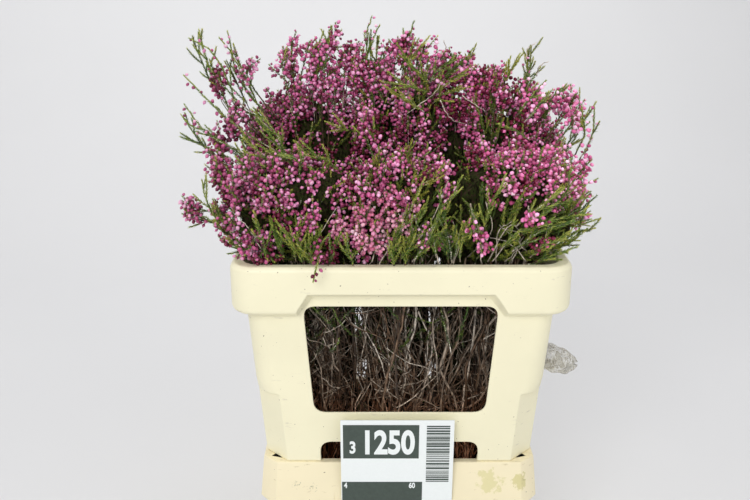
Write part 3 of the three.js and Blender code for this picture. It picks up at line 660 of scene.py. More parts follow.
def shrunk(half, inset):
    """Half sizes with the same taken off each."""
    return tuple(h - inset for h in half)


def band_raise(sideways):
    """Cutters for the raised middle of the band's lower edge, which narrow towards the wall."""
    reach = BAND_HALF[0] if sideways else BAND_HALF[1]
    scale = SIDE_RAISE_HALF / RAISE_HALF if sideways else 1

    def face(out, shrink):
        low, high = RIM - BAND_DEPTH - 20, RIM - RAISE_TOP - shrink
        wide, narrow = (RAISE_HALF + 15 - shrink) * scale + 14, (RAISE_HALF - shrink) * scale
        return [(-wide, -out, low), (wide, -out, low), (narrow, -out, high), (-narrow, -out, high)]

    rows = (face(reach - 17, 7), face(reach + 4, -2))
    for turn in (0, math.pi):
        angle = turn + (math.pi / 2 if sideways else 0)
        c, s = math.cos(angle), math.sin(angle)
        yield skin([[(x * c - y * s, x * s + y * c, z) for x, y, z in row] for row in rows])


def collar_wall(inset, start, end):
    """Rings of the collar's wall: chamfered corners low down that turn round above them."""
    chamfer_end = BUCKET_TOP + CHAMFER_TOP
    heights = (start, chamfer_end, chamfer_end + CHAMFER_LIP, chamfer_end + CHAMFER_SLOPE, end)
    corners = ((CHAMFER, 0), (CHAMFER, 0), (CHAMFER - 2.5, 0.7), (COLLAR_ROUND, 1), (COLLAR_ROUND, 1))
    rings = []
    for z, (cut, bulge) in zip(heights, corners):
        rings.append(ring(collar_half(z, inset), cut - inset * 0.58, bulge, z))
    return rings


def build_collar(settings):
    """The collar: band with its raised middles, wall, tongue in the bucket's ledge, inside and openings."""
    seat, top = BUCKET_TOP + 0.3, RIM - 0.3
    under = RIM - BAND_DEPTH
    # Rounding of the rim: how far in, and how far above or below it
    lip = [(0.0, -6.5), (1.6, -2.8), (5.0, 0.0)]
    body = skin([
        ring(collar_half(under - 9, 1), COLLAR_ROUND, 1, under - 9),
        ring(shrunk(BAND_HALF, 5), BAND_ROUND - 5, 1, under - 2.5),
        ring(shrunk(BAND_HALF, 1.4), BAND_ROUND - 1.4, 1, under + 0.2),
        ring(BAND_HALF, BAND_ROUND, 1, under + 4.5),
        *(ring(shrunk(BAND_HALF, i), BAND_ROUND - i, 1, RIM + d) for i, d in lip),
    ], "collar")
    for sideways in (False, True):
        for cutter in band_raise(sideways):
            combine(body, cutter, "DIFFERENCE")
    combine(body, skin(collar_wall(0, seat, top)), "UNION")
    tongue = shrunk(shrunk(LEDGE_HALF, LEDGE_WIDTH), 0.6)
    inner = shrunk(tongue, 2.4)
    combine(body, skin([
        ring(tongue, CHAMFER - 3, 0, BUCKET_TOP - 8),
        ring(tongue, CHAMFER - 3, 0, seat + 3),
        ring(collar_half(seat + 6, 1), CHAMFER, 0, seat + 6),
    ]), "UNION")
    combine(body, skin([
        ring(inner, CHAMFER - 4.4, 0, BUCKET_TOP - 13),
        ring(inner, CHAMFER - 4.4, 0, seat + 3),
        *collar_wall(WALL, seat + 9, RIM + 5),
    ]), "DIFFERENCE")
    for window, sideways in ((FRONT_WINDOW, False), (SIDE_WINDOW, True)):
        bottom, head, half_bottom, half_head, corner = window
        cutter = opening(RIM - bottom, RIM - head, half_bottom, half_head, corner, sideways)
        combine(body, cutter, "DIFFERENCE")
    high, half, corner = NOTCH
    combine(body, opening(BUCKET_TOP - high, BUCKET_TOP + high, half, half, corner), "DIFFERENCE")
    soften(body, settings.edge)
    finish_form(body, "collar_moulding", moulded_polypropylene(settings, "collar"), "collar")


def card_back(z):
    """Where the leaning card's back stands at a height."""
    return -(SKIRT_HALF[1] + 0.8 + math.tan(CARD_LEAN) * (z - (BUCKET_TOP - SKIRT_DEPTH)))


def card_pocket():
    """Pocket low on the front wall that the card stands in, cut off at the middle of the wall."""
    inside = card_back(CARD_FOOT) - 3.4
    pocket = block((-75, inside - 2.5, CARD_FOOT - 3.3), (75, -BASE_HALF[1] + 5, CARD_FOOT + 22))
    slot = block((-72.5, inside, CARD_FOOT - 0.3), (72.5, card_back(CARD_FOOT) + 0.9, CARD_FOOT + 27))
    combine(pocket, slot, "DIFFERENCE")

    def wall_at(z):
        share = (z - 3) / (BUCKET_TOP - SKIRT_DEPTH - 11)
        return tuple(b + (w - b) * share - WALL / 2 for b, w in zip(BASE_HALF, BUCKET_WALL_HALF))

    low, high = CARD_FOOT - 23, CARD_FOOT + 42
    combine(pocket, skin([ring(wall_at(z), 16, 1, z) for z in (low, high)]), "DIFFERENCE")
    return pocket


def drain_slits():
    """Cutters for the wedges at the ledge's corners, where water drains past the collar's chamfers."""
    for x in (-1, 1):
        for y in (-1, 1):
            middle = Vector((x * (COLLAR_HALF[0] - CHAMFER / 2), y * (COLLAR_HALF[1] - CHAMFER / 2)))
            out, front = Vector((x, y)).normalized(), Vector((-x, y)).normalized()
            plan = [
                middle - front * 5 - out,
                middle + front * 9 - out,
                middle + front * 8 + out,
                middle - front * 4 + out * 7,
            ]
            if x * y > 0:
                plan.reverse()
            yield skin([[(p.x, p.y, z) for p in plan] for z in (BUCKET_TOP - 16, BUCKET_TOP + 4)])


def build_bucket(settings):
    """The bucket: tapered wall, skirt and ledge, inside, card pocket, slits and the skirt's channels."""
    skirt_foot = BUCKET_TOP - SKIRT_DEPTH
    inner = shrunk(LEDGE_HALF, LEDGE_WIDTH)
    body = skin([
        ring(shrunk(BASE_HALF, 3), 18, 1, 0),
        ring(shrunk(BASE_HALF, 0.9), 19.4, 1, 0.9),
        ring(BASE_HALF, 20, 1, 3),
        ring(BUCKET_WALL_HALF, 20, 1, skirt_foot - 8),
        ring(shrunk(SKIRT_HALF, 1.2), 21, 0.2, skirt_foot - 1),
        ring(SKIRT_HALF, 21, 0.2, skirt_foot + 1.5),
        ring(shrunk(LEDGE_HALF, -1), 19, 0.2, BUCKET_TOP - 3),
        ring(shrunk(LEDGE_HALF, -0.2), 18, 0.2, BUCKET_TOP - 0.8),
        ring(shrunk(LEDGE_HALF, 1.2), 17, 0.2, BUCKET_TOP),
    ], "bucket")
    combine(body, skin([
        ring(shrunk(BASE_HALF, WALL), 18, 1, 4),
        ring(shrunk(BUCKET_WALL_HALF, WALL), 18, 1, BUCKET_TOP - 24),
        ring(inner, CHAMFER - 2, 0, BUCKET_TOP - 14),
        ring(inner, CHAMFER - 2, 0, BUCKET_TOP + 5),
    ]), "DIFFERENCE")
    combine(body, card_pocket(), "UNION")
    for cutter in drain_slits():
        combine(body, cutter, "DIFFERENCE")
    # Channels beside the card that stiffen the skirt
    face = -SKIRT_HALF[1]
    for left, right in CHANNELS:
        channel = block((left, face - 3, skirt_foot - 6), (right, face + 1.8, BUCKET_TOP - 24))
        combine(body, channel, "DIFFERENCE")
    soften(body, settings.edge)
    finish_form(body, "bucket_moulding", moulded_polypropylene(settings, "bucket"), "bucket")


# Card


def on_card(x, up, out=0.0):
    """Point of the card's front: across, up from its foot, and how far it stands off."""
    front = card_back(CARD_FOOT) - 1.2 * math.cos(CARD_LEAN)
    y = front - up * math.sin(CARD_LEAN) - out * math.cos(CARD_LEAN)
    return (x, y, CARD_FOOT + up * math.cos(CARD_LEAN) - out * math.sin(CARD_LEAN))


def add_plate(stock, across, up, out):
    """Thin plate on the card, from pairs of limits across, up and out from its front."""
    corners = [(across[0], up[0]), (across[1], up[0]), (across[1], up[1]), (across[0], up[1])]
    points = [on_card(x, height, away) for away in out for x, height in corners]
    stock.add(points, [(4, 5, 6, 7), (3, 2, 1, 0), (0, 1, 5, 4), (1, 2, 6, 5), (2, 3, 7, 6), (3, 0, 4, 7)])


def build_card(settings):
    """The card with two dark blocks, plain bars and plain numbers."""
    sheet, ink = Stock(), Stock()
    half = CARD_WIDTH / 2
    add_plate(sheet, (CARD_SHIFT - half, CARD_SHIFT + half), (0, CARD_HEIGHT), (-0.9, 0))
    facet(place_piece("card_sheet", sheet.mesh("card_sheet"), [coated_card(settings)], ["card"]))
    block_foot, block_top = BUCKET_TOP + 12.5 - CARD_FOOT, BUCKET_TOP + 60.5 - CARD_FOOT
    bars_foot, bars_top = BUCKET_TOP - 22 - CARD_FOOT, BUCKET_TOP + 59.5 - CARD_FOOT
    add_plate(ink, (-69.5, 23.7), (block_foot, block_top), PRINT)
    add_plate(ink, (-71.5, 28.7), (70, bars_foot), PRINT)
    draw = np.random.default_rng(settings_seed() + 5)
    up = bars_foot
    while up < bars_top - 1:
        width = float(draw.choice((0.6, 1.2, 1.2, 2.0, 2.6)))
        add_plate(ink, (33, 61.5), (up, min(up + width, bars_top)), PRINT)
        up += width + float(draw.choice((0.7, 1.0, 1.4)))
    facet(place_piece("card_print", ink.mesh("card_print"), [offset_ink(settings)]))
    low = BUCKET_TOP - 31 - CARD_FOOT
    for name, text, x, up, height in (
        ("card_number_small", "3", -62, block_foot + 8, 17),
        ("card_number_large", "1250", -48, block_foot + 7.5, 33.5),
        ("card_number_low", "4", -69, low, 8),
        ("card_number_low_right", "60", 12, low, 8),
    ):
        add_number(name, text, x, up, height, settings)


def add_number(name, text, x, up, height, settings):
    """Plain white number standing on the print."""
    heavier, narrower = 0.034, 0.72
    curve = bpy.data.curves.new(name, "FONT")
    curve.body, curve.size, curve.extrude, curve.offset = text, 1.0, 0.0, heavier
    curve.resolution_u = 6
    made = bpy.data.objects.new(name, curve)
    bpy.context.scene.collection.objects.link(made)
    mesh = bpy.data.meshes.new_from_object(made.evaluated_get(bpy.context.evaluated_depsgraph_get()))
    bpy.data.objects.remove(made)
    shape = bmesh.new()
    shape.from_mesh(mesh)
    bmesh.ops.remove_doubles(shape, verts=shape.verts, dist=1e-4)
    flat = bmesh.ops.extrude_face_region(shape, geom=shape.faces[:])
    high = {v for v in flat["geom"] if isinstance(v, bmesh.types.BMVert)}
    scale = height / max(v.co.y for v in shape.verts)
    for v in shape.verts:
        out = 0.2 if v in high else 0.08
        v.co = Vector(on_card(x + v.co.x * scale * narrower, up + v.co.y * scale, out)) * MM
    bmesh.ops.recalc_face_normals(shape, faces=shape.faces)
    shape.to_mesh(mesh)
    shape.free()
    mesh.name = name
    facet(place_piece(name, mesh, [coated_card(settings)]))


# Film and rubber bands


def film_grid(first, last, edge):
    """Rings of the film's tip, from its left end to its right end."""
    draw = np.random.default_rng(settings_seed() + 9)
    rows, columns = 36, 46
    turns = np.linspace(0, 2 * math.pi, columns)
    folds = [
        (k / 2, 0.2 / k**0.5, draw.random() * 6.3, draw.random() * 5 - 2.5) for k in (2, 3, 5, 8, 11, 16)
    ]
    grid = np.zeros((rows, columns, 3))
    for i, share in enumerate(np.linspace(0, 1, rows)):
        # A pleated bundle inside, a slack bag outside, pinched at its end
        swell = np.interp(share, (0, 0.2, 0.36, 0.62, 0.86, 0.96, 1), (8, 9, 12.5, 20, 15.5, 9, 2))
        middle = np.interp(share, (0, 0.25, 0.42, 0.7, 1), (11, 11, 11, 4, -3))
        # Folds are sharp inward and round outward
        crease = sum(a * np.abs(np.sin(k * turns + p + v * share * 3)) for k, a, p, v in folds)
        size = swell * (0.68 + crease) * (1 + 0.05 * math.sin(40 * share))
        grid[i, :, 0] = first + (last - first) * share + 2.5 * np.sin(turns * 2 + 5 * share)
        grid[i, :, 1] = 4 + size * np.cos(turns)
        grid[i, :, 2] = edge + 1.5 + middle + size * 0.98 * np.sin(turns)
    grid[:, -1] = grid[:, 0]
    return grid


def build_film():
    """Crumpled end of a clear sleeve that lies on the right window's edge and droops beyond the wall."""
    edge = RIM - SIDE_WINDOW[0]
    first, last = 150.0, 243.0
    grid = film_grid(first, last, edge)
    rows, columns = grid.shape[:2]
    points = grid.reshape(-1, 3)
    resting = points[:, 0] < collar_half(edge)[0] + 5
    points[resting, 2] = np.maximum(points[resting, 2], edge + 0.4)
    i, j = np.meshgrid(np.arange(rows - 1), np.arange(columns - 1), indexing="ij")
    corner = (i * columns + j).ravel()
    faces = np.stack([corner, corner + columns, corner + columns + 1, corner + 1], -1)
    stock = Stock()
    stock.add(points, faces)
    mesh = stock.mesh("clear_film")
    made = place_piece("clear_film", mesh, [cast_polyethylene()], ["clear_film_tip"])
    step = made.modifiers.new("thickness", "SOLIDIFY")
    step.thickness, step.offset = 0.12 * MM, 0
    apply_modifiers(made)
    a, b, c, d = (points[faces[:, k]] for k in range(4))
    halves = (np.cross(b - a, c - a), np.cross(c - a, d - a))
    area = 0.5 * sum(np.linalg.norm(half, axis=1) for half in halves).sum()
    # The film runs a little longer than its reach, because it droops
    area = round(float(area) * MM * MM, 5)


def build_bands():
    """Rubber bands that go twice round each sheaf."""
    finish = vulcanised_rubber()
    thick = 1.15
    for number, name in enumerate(BUNCHES):
        node = f"bunch_{name}_rubber_band"
        low, high = (np.array(corner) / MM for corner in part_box(node))
        centre, reach = (low + high) / 2, (high - low)[:2].min() / 2 - 1.7
        turns = np.linspace(0, 4 * math.pi, 97)[:-1]
        wave = 0.5 * np.sin(3 * turns + number)
        radius = reach + wave * 0.4
        path = np.column_stack([
            centre[0] + radius * np.cos(turns),
            centre[1] + radius * np.sin(turns),
            centre[2] + 1.1 * np.cos(turns / 2 + number) + 0.3 * wave,
        ])
        path = np.concatenate([path, path[:1]])
        stock = Stock()
        add_tube(stock, path, np.full(len(path), thick), 8)
        place_piece(f"rubber_band_{name}", stock.mesh(node), [finish], [node])


# Heath


def settings_seed():
    """The seed that every piece's own draws start from."""
    return bpy.context.scene.heath_plants.seed


def fan(z):
    """Half width and half depth of the six sheaves together at a height."""
    return tuple(a + (b - a) * (z - 4) / (RIM - 4) for a, b in zip(FAN_FOOT, FAN_RIM))


def in_cell(cell, z, across, along):
    """Point in a bunch's cell at a height, from -1 to 1 across the cell and along its depth."""
    width, depth = fan(z)
    return np.array(((cell[0] + across / 2) * 2 * width / 3, (cell[1] + along) * depth / 2, z))


def kinked(points, draw, size):
    """Path with small bends that leave its two ends in place."""
    shake = draw.normal(size=points.shape) * size
    shake[0] = shake[-1] = 0
    return points + shake


def smooth_path(points, steps):
    """Points spread along a soft curve through the given ones."""
    points = np.asarray(points, float)
    padded = np.concatenate([[2 * points[0] - points[1]], points, [2 * points[-1] - points[-2]]])
    spans = np.linspace(0, len(points) - 1 - 1e-6, steps)
    k = spans.astype(int)
    t = (spans - k)[:, None]
    a, b, c, d = (padded[k + i] for i in range(4))
    return 0.5 * (2 * b + (c - a) * t + (2 * a - 5 * b + 4 * c - d) * t**2 + (3 * b - a - 3 * c + d) * t**3)


def inside_collar(points, gap=5):
    """Points held inside the collar's wall, as far up as it goes."""
    points = np.array(points, float)
    held = points[..., 2] < RIM - 1
    above = np.maximum(points[..., 2] - BUCKET_TOP, 0)
    limits = [COLLAR_HALF[k] + COLLAR_FLARE[k] * above - WALL - gap for k in (0, 1)]
    for k in (0, 1):
        points[..., k] = np.where(held, np.clip(points[..., k], -limits[k], limits[k]), points[..., k])
    # The chamfered corners take more away
    over = np.abs(points[..., 0]) + np.abs(points[..., 1]) - (limits[0] + limits[1] - CHAMFER)
    for k in (0, 1):
        points[..., k] -= np.where(held & (over > 0), np.sign(points[..., k]) * over / 2, 0)
    return points


def arc_lengths(path):
    """Distance along a path to each of its points."""
    return np.concatenate([[0], np.cumsum(np.linalg.norm(np.diff(path, axis=0), axis=1))])


def along_path(path, places):
    """Points and directions at distances along a path."""
    length = arc_lengths(path)

    def read(at):
        at = np.clip(at, 0, length[-1])
        return np.column_stack([np.interp(at, length, path[:, k]) for k in range(3)])

    return read(places), unit(read(places + 1.5) - read(places - 1.5))


def side_shoot(path, place, reach, spread, draw, turn=None, steps=7):
    """Path of a shoot that leaves another path at a narrow angle and then straightens."""
    point, forward = (v[0] for v in along_path(path, np.array([place])))
    spin = draw.random() * 6.3 if turn is None else turn
    out = frames_along(forward[None], np.array([spin]))[0, :, 0]
    end = point + forward * reach * (1 - spread * 0.3) + out * reach * spread + (0, 0, reach * 0.08)
    leaving = point + (forward + out * spread) * reach * 0.25
    middle = (point + 2 * end) / 3 + out * reach * 0.1
    return kinked(bezier(point, leaving, middle, end, steps), draw, reach * 0.012)


def ridged_core(stock, rows, sides, draw, finish):
    """Mass with ridges along it, as of stems side by side.

    A row holds a level's middle, its half sizes and its height.
    """
    angles = np.arange(sides) * 2 * math.pi / sides
    c, s = np.cos(angles), np.sin(angles)
    # A squarer plan than an ellipse
    square = (np.abs(c) ** 3 + np.abs(s) ** 3) ** (-1 / 3)
    ridges = 0.36 * (draw.random(sides) - 0.5)
    rings = []
    for x, y, half_x, half_y, z in rows:
        ridges = 0.9 * ridges + 0.05 * draw.normal(size=sides)
        reach = square * (1 + ridges)
        ring_points = np.column_stack([x + half_x * reach * c, y + half_y * reach * s, np.full(sides, z)])
        rings.append(inside_collar(ring_points, 2))
    ends = [(row[0], row[1], row[4]) for row in (rows[0], rows[-1])]
    stock.closed(rings, ends, finish, (0.0, 0.1))


def stem_points(cell, r, x, y, draw):
    """Guiding points of one stem: splayed at its foot, held by the band, and wandering on up to the rim."""
    centre = in_cell(cell, TIE_HEIGHT, 0, 0)

    def tied(radius, z):
        return np.array((centre[0] + radius * r * x, centre[1] + radius * r * y, z))

    drift = np.cumsum(draw.normal(size=(len(STEM_HEIGHTS), 2)) * 0.27, axis=0)
    drift -= np.linspace(0, 1, len(STEM_HEIGHTS))[:, None] * drift[-1] * 0.7
    between = [
        in_cell(cell, z, x * r * o + dx, y * r * o + dy)
        for z, o, (dx, dy) in zip(STEM_HEIGHTS, STEM_OPENED, drift)
    ]
    return [
        tied(TIE_RADIUS + 5, 4.4),
        tied(TIE_RADIUS - 3.4, TIE_HEIGHT - 6),
        tied(TIE_RADIUS - 3.4, TIE_HEIGHT + 6),
        *between,
        in_cell(cell, SPLIT + 16, x * r * 0.95, y * r * 0.95),
    ]


def side_twigs(wood, leaves, path, heath, draw):
    """Four side shoots of a stem, each with a twig, some with a few dull needles near the rim."""
    total = arc_lengths(path)[-1]
    for _ in range(4):
        place = total * (0.42 + 0.5 * draw.random())
        reach, spread = 34 + 50 * draw.random(), 0.45 + 0.7 * draw.random()
        shoot = side_shoot(path, place, reach, spread, draw, steps=6)
        shoot[:, 2] = np.minimum(shoot[:, 2], SPLIT + 18)
        shoot = inside_collar(shoot)
        radii = np.linspace(0.85, 0.4, len(shoot)) * (0.7 + 0.5 * draw.random())
        add_tube(wood, shoot, radii, 3, tone=draw.random())
        twig = inside_collar(side_shoot(shoot, arc_lengths(shoot)[-1] * 0.4, 20, 0.9, draw, steps=4))
        add_tube(wood, twig, np.linspace(0.5, 0.3, 4), 3, tone=draw.random())
        if shoot[-1, 2] > RIM - 110 and draw.random() < 0.3:
            grow_needles(leaves, shoot, 10, heath, draw, step=3, fresh=-0.3)


def build_stems(name, bunch, heath, finishes):
    """Woody stems of one sheaf: tied low down, spreading and crossing on their way to the rim."""
    draw = np.random.default_rng(heath.seed + sum(map(ord, name)))
    cell = bunch["cell"]
    wood, leaves = Stock(), Stock()
    # The back sheaves are seen through the front ones, and need fewer stems
    count = heath.stems if cell[1] < 0 else round(heath.stems * 0.85)
    for i in range(count):
        r, a = math.sqrt((i + 0.6) / count), i * GOLDEN + draw.random() * 0.5
        points = stem_points(cell, r, math.cos(a), math.sin(a), draw)
        path = inside_collar(kinked(smooth_path(points, 22), draw, (1.9, 1.9, 0.6)))
        thick = 0.75 + 1.1 * draw.random() ** 2.5
        knots = 1 + 0.12 * draw.normal(size=len(path))
        radii = thick * (1.3 - 0.5 * np.linspace(0, 1, len(path))) * knots
        add_tube(wood, path, radii, 4, tone=draw.random())
        side_twigs(wood, leaves, path, heath, draw)
    # The back sheaves' hearts let no light through, and carry painted shade
    if cell[1] > 0:
        rows = []
        for z in np.linspace(TIE_HEIGHT + 20, SPLIT, 14):
            low, high = in_cell(cell, z, -0.8, -0.4), in_cell(cell, z, 0.8, 0.4)
            rows.append((*(low + high)[:2] / 2, *(high - low)[:2] / 2, z))
        ridged_core(wood, rows, 30, draw, 1)
    bark, needles, heart = finishes
    node = [f"bunch_{name}_stems"]
    needle_mesh = leaves.mesh(f"stem_needles_{name}", smooth=False)
    place_piece(f"stems_{name}", wood.mesh(f"stems_{name}"), [bark, heart], node)
    place_piece(f"stem_needles_{name}", needle_mesh, [needles], node)


def bunch_limits(cell, z):
    """Left and right ends of a bunch's own part of the whole; the outer bunches are open outwards."""
    width = fan(z)[0] * 2 / 3
    left = (cell[0] - 0.5) * width + 1.5 if cell[0] > -1 else -500
    right = (cell[0] + 0.5) * width - 1.5 if cell[0] < 1 else 500
    return left, right


def crown_tips(bunch, draw, apart, reach, tries, placed):
    """Tips over a dome on a barrel that comes down to the rim, kept apart, in the bunch's own part."""
    middle, half = np.array(bunch["middle"], float), np.array(bunch["half"], float)
    cell = bunch["cell"]
    tips, blocked = [], [np.array(p, float) for p in placed]
    for i in range(tries):
        rise = 1 - 2 * (i + 0.5) / tries
        angle = i * GOLDEN + draw.random() * 0.3
        wide = math.sqrt(1 - rise * rise) if rise > 0 else 1 - 0.3 * rise * rise
        c, s = math.cos(angle), math.sin(angle)
        # A squarer plan than an ellipse, so that neighbouring bunches close up
        wide *= (abs(c) ** 3.2 + abs(s) ** 3.2) ** (-1 / 3.2)
        size = reach[0] + (reach[1] - reach[0]) * draw.random()
        drop = half[2] * size if rise > 0 else middle[2] - 4
        tip = middle + (half[0] * size * wide * c, half[1] * size * wide * s, drop * rise)
        wanted = tip.copy()
        tip[0] = np.clip(tip[0], *bunch_limits(cell, RIM + tip[2]))
        tip[1] = min(tip[1], -3) if cell[1] < 0 else max(tip[1], 3)
        # Sprays that lean out past the rim rise with it
        tip[2] = max(tip[2], (abs(tip[0]) - 168) * 0.5)
        inner = (wanted[1] - middle[1]) * cell[1] < 0
        if inner and rise < 0.1 and np.linalg.norm(tip - wanted) > 1:
            continue
        # Low in front they stand closer
        least = apart * (0.74 if tip[2] < 34 and cell[1] < 0 else 1)
        if all(np.linalg.norm(tip - other) > least for other in blocked):
            tips.append(tip)
            blocked.append(tip)
    return tips


def green_share(tip):
    """Share of leafy sprays at a tip: most low down and at the right of the front, fewest on top."""
    low = np.clip((46 - tip[2]) / 30, 0, 1)
    right = np.clip((tip[0] - 5) / 40, 0, 1) * np.clip((104 - tip[2]) / 25, 0, 1) * (tip[1] < -40)
    return max(0.12, 0.9 * low, 0.8 * right)


def spray_path(bunch, tip, draw, steps=8):
    """A branch from the stems' ends through the crown to its tip, rising and then leaning out."""
    middle = np.array(bunch["middle"], float)
    toward = unit(tip - middle)
    side = np.clip((tip[:2] - middle[:2]) / np.array(bunch["half"])[:2], -0.9, 0.9)
    side = side * 0.66 + 0.2 * (draw.random(2) - 0.5)
    foot = in_cell(bunch["cell"], SPLIT + 6, *side)
    end = tip + (0, 0, RIM)
    far = np.linalg.norm(end - foot)
    low = np.clip(1 - tip[2] / 70, 0, 1)
    heading = unit(toward * (0.85 - 0.5 * low) + (0, 0, 0.3 + 0.5 * low) + draw.normal(size=3) * 0.3)
    path = bezier(foot, foot + (0, 0, far * 0.35), end - heading * far * 0.42, end, steps)
    return inside_collar(kinked(path, draw, 0.9))


def urn(sides, rings=((0.44, 0.26), (0.4, 0.7))):
    """Small closed bell from its foot over its rings of (radius, height) to the middle of its mouth."""
    angles = np.arange(sides) * 2 * math.pi / sides
    circle = np.column_stack([np.cos(angles), np.sin(angles), np.ones(sides)])
    points = np.concatenate([[[0, 0, 0]], *(circle * (r, r, z) for r, z in rings), [[0, 0, 0.94]]])
    last, faces = len(points) - 1, []
    for k in range(sides):
        a, b = 1 + k, 1 + (k + 1) % sides
        faces += [(0, b, a), (last - sides + k, last - sides + (k + 1) % sides, last)]
        if len(rings) > 1:
            faces += [(a, b, b + sides), (a, b + sides, a + sides)]
    shares = [0, *(height for _, height in rings), 1]
    return points, np.array(faces), np.repeat(shares, [1, *(sides for _ in rings), 1])


# Forms that repeat, one unit long: an open bell, a bud, and a folded blade without a foot
BELL = urn(5)
BUD = urn(5, ((0.42, 0.5),))
NEEDLE = (
    np.array([(-0.5, 0, 0), (0, 0.42, 0.05), (0.5, 0, 0), (0.0, 0.12, 1.0)]),
    np.array([(0, 3, 1), (1, 3, 2)]),
    np.array([0, 0.15, 0, 1.0]),
)


def grow_needles(stock, path, start, heath, draw, whorl=3, step=2.4, fresh=0.0):
    """Whorls of needles that lie along a path from a distance up to its tip, fresher green towards it."""
    total = arc_lengths(path)[-1]
    if total - start < step:
        return
    places = np.repeat(np.arange(start, total + 0.5, step), whorl)
    number = np.arange(len(places))
    points, along = along_path(path, places)
    spin = number * (2 * math.pi / whorl) + (number // whorl) * 1.05 + draw.normal(size=len(places)) * 0.2
    radial = frames_along(along, spin)[:, :, 0]
    share = np.clip((places - start) / (total - start), 0, 1)
    lean = 0.64 - 0.3 * share**2 + draw.normal(size=len(places)) * 0.13
    out = unit(radial * lean[:, None] + along)
    back = unit(radial - out * np.sum(radial * out, axis=1, keepdims=True))
    length = heath.needle_length / MM * (1 - 0.35 * share**4) * (0.8 + 0.4 * draw.random(len(places)))
    sizes = np.column_stack([np.full(len(places), 1.75), np.full(len(places), 1.6), length])
    tone = np.clip(0.36 + fresh + share * 0.38 + draw.normal(size=len(places)) * 0.2, 0, 1)
    stock.copies(NEEDLE, points, np.stack([np.cross(back, out), back, out], -1), sizes, 0, tone)


def grow_bells(stock, path, length, heath, draw, finish, step=1.65, wide=1.0, faded=0.0, buds=BUD_SHARE):
    """Bells on short stalks round the last stretch of a path, closer and smaller towards the tip."""
    total = arc_lengths(path)[-1]
    start = max(4.0, total - length)
    places = np.arange(start, total, step)
    places = places + draw.normal(size=len(places)) * 0.6
    count = len(places)
    if not count:
        return
    points, along = along_path(path, places)
    turn = frames_along(along, np.arange(count) * GOLDEN + draw.normal(size=count) * 0.3)
    share = np.clip((places - start) / max(total - start, 1), 0, 1)
    stalk = (1.6 + 4.2 * draw.random(count)) * wide * (1 - 0.65 * share**3)
    radial = turn[:, :, 0]
    points = points + radial * stalk[:, None] - np.array((0, 0, 0.18)) * stalk[:, None]
    axis = unit(radial * 0.9 + along * 0.3 + np.array((0, 0, -0.4)) + draw.normal(size=points.shape) * 0.35)
    size = heath.bell_length / MM * (0.8 + 0.32 * draw.random(count)) * (1 - 0.3 * share**4)
    sizes = np.column_stack([size * 0.86, size * 0.86, size * 1.12])
    tone = np.clip(draw.random(count) ** 1.15 * 0.8 + 0.2 * draw.random() - faded, 0, 1)
    turns = frames_along(axis, draw.random(count) * 6)
    bud = draw.random(count) < buds
    for form, picked in ((BELL, ~bud), (BUD, bud)):
        stock.copies(form, points[picked], turns[picked], sizes[picked], finish, tone[picked])


def leafy_spray(wood, leaves, path, heath, draw, sprigs=5, fresh=0.0, length=64, spread=0.42, step=2.4):
    """Twig with side sprigs, all of it set with needles."""
    total = arc_lengths(path)[-1]
    fresh = fresh + 0.13 * draw.normal()
    add_tube(wood, path, np.linspace(1.1, 0.5, len(path)), 3, tone=draw.random())
    grow_needles(leaves, path, max(total - length, 3), heath, draw, step=step, fresh=fresh)
    backs = np.linspace(12, min(length, total * 0.85), sprigs) * (0.85 + 0.3 * draw.random())
    for k, back in enumerate(backs):
        reach = 15 + 15 * draw.random()
        width = spread + 0.2 * draw.random()
        twig = side_shoot(path, max(total - back, 2), reach, width, draw, k * GOLDEN + draw.random(), 4)
        add_tube(wood, twig, np.linspace(0.6, 0.4, len(twig)), 3, tone=draw.random())
        grow_needles(leaves, twig, 1, heath, draw, step=step, fresh=fresh + 0.08)


def flower_spike(wood, leaves, bells, path, heath, draw, finish, length=None, buds=BUD_SHARE):
    """Branch that ends in a spike of bells with needles between, and three side spikes, some leafy."""
    total = arc_lengths(path)[-1]
    add_tube(wood, path, np.linspace(1.2, 0.5, len(path)), 3, tone=draw.random())
    length = length or 20 + 12 * draw.random()
    # Some spikes are past their best
    faded = 0.5 if draw.random() < 0.22 else 0.12 * draw.random()
    grow_bells(bells, path, length, heath, draw, finish, faded=faded, buds=buds)
    grow_needles(leaves, path, max(total - length - 24, 5), heath, draw, step=2.9, fresh=-0.05)
    for k in range(3):
        reach = 15 + 9 * draw.random()
        place = max(total - 10 - 9 * k - 5 * draw.random(), 4.0)
        width = 0.5 + 0.25 * draw.random()
        twig = side_shoot(path, place, reach, width, draw, k * 2.2 + draw.random() * 2, 3)
        add_tube(wood, twig, np.linspace(0.6, 0.35, len(twig)), 3, tone=draw.random())
        if draw.random() < 0.78:
            grow_bells(bells, twig, 13, heath, draw, finish, step=2.0, wide=0.8, faded=faded, buds=buds)
            grow_needles(leaves, twig, 1, heath, draw, step=4)
        else:
            grow_needles(leaves, twig, 1, heath, draw, fresh=0.2)


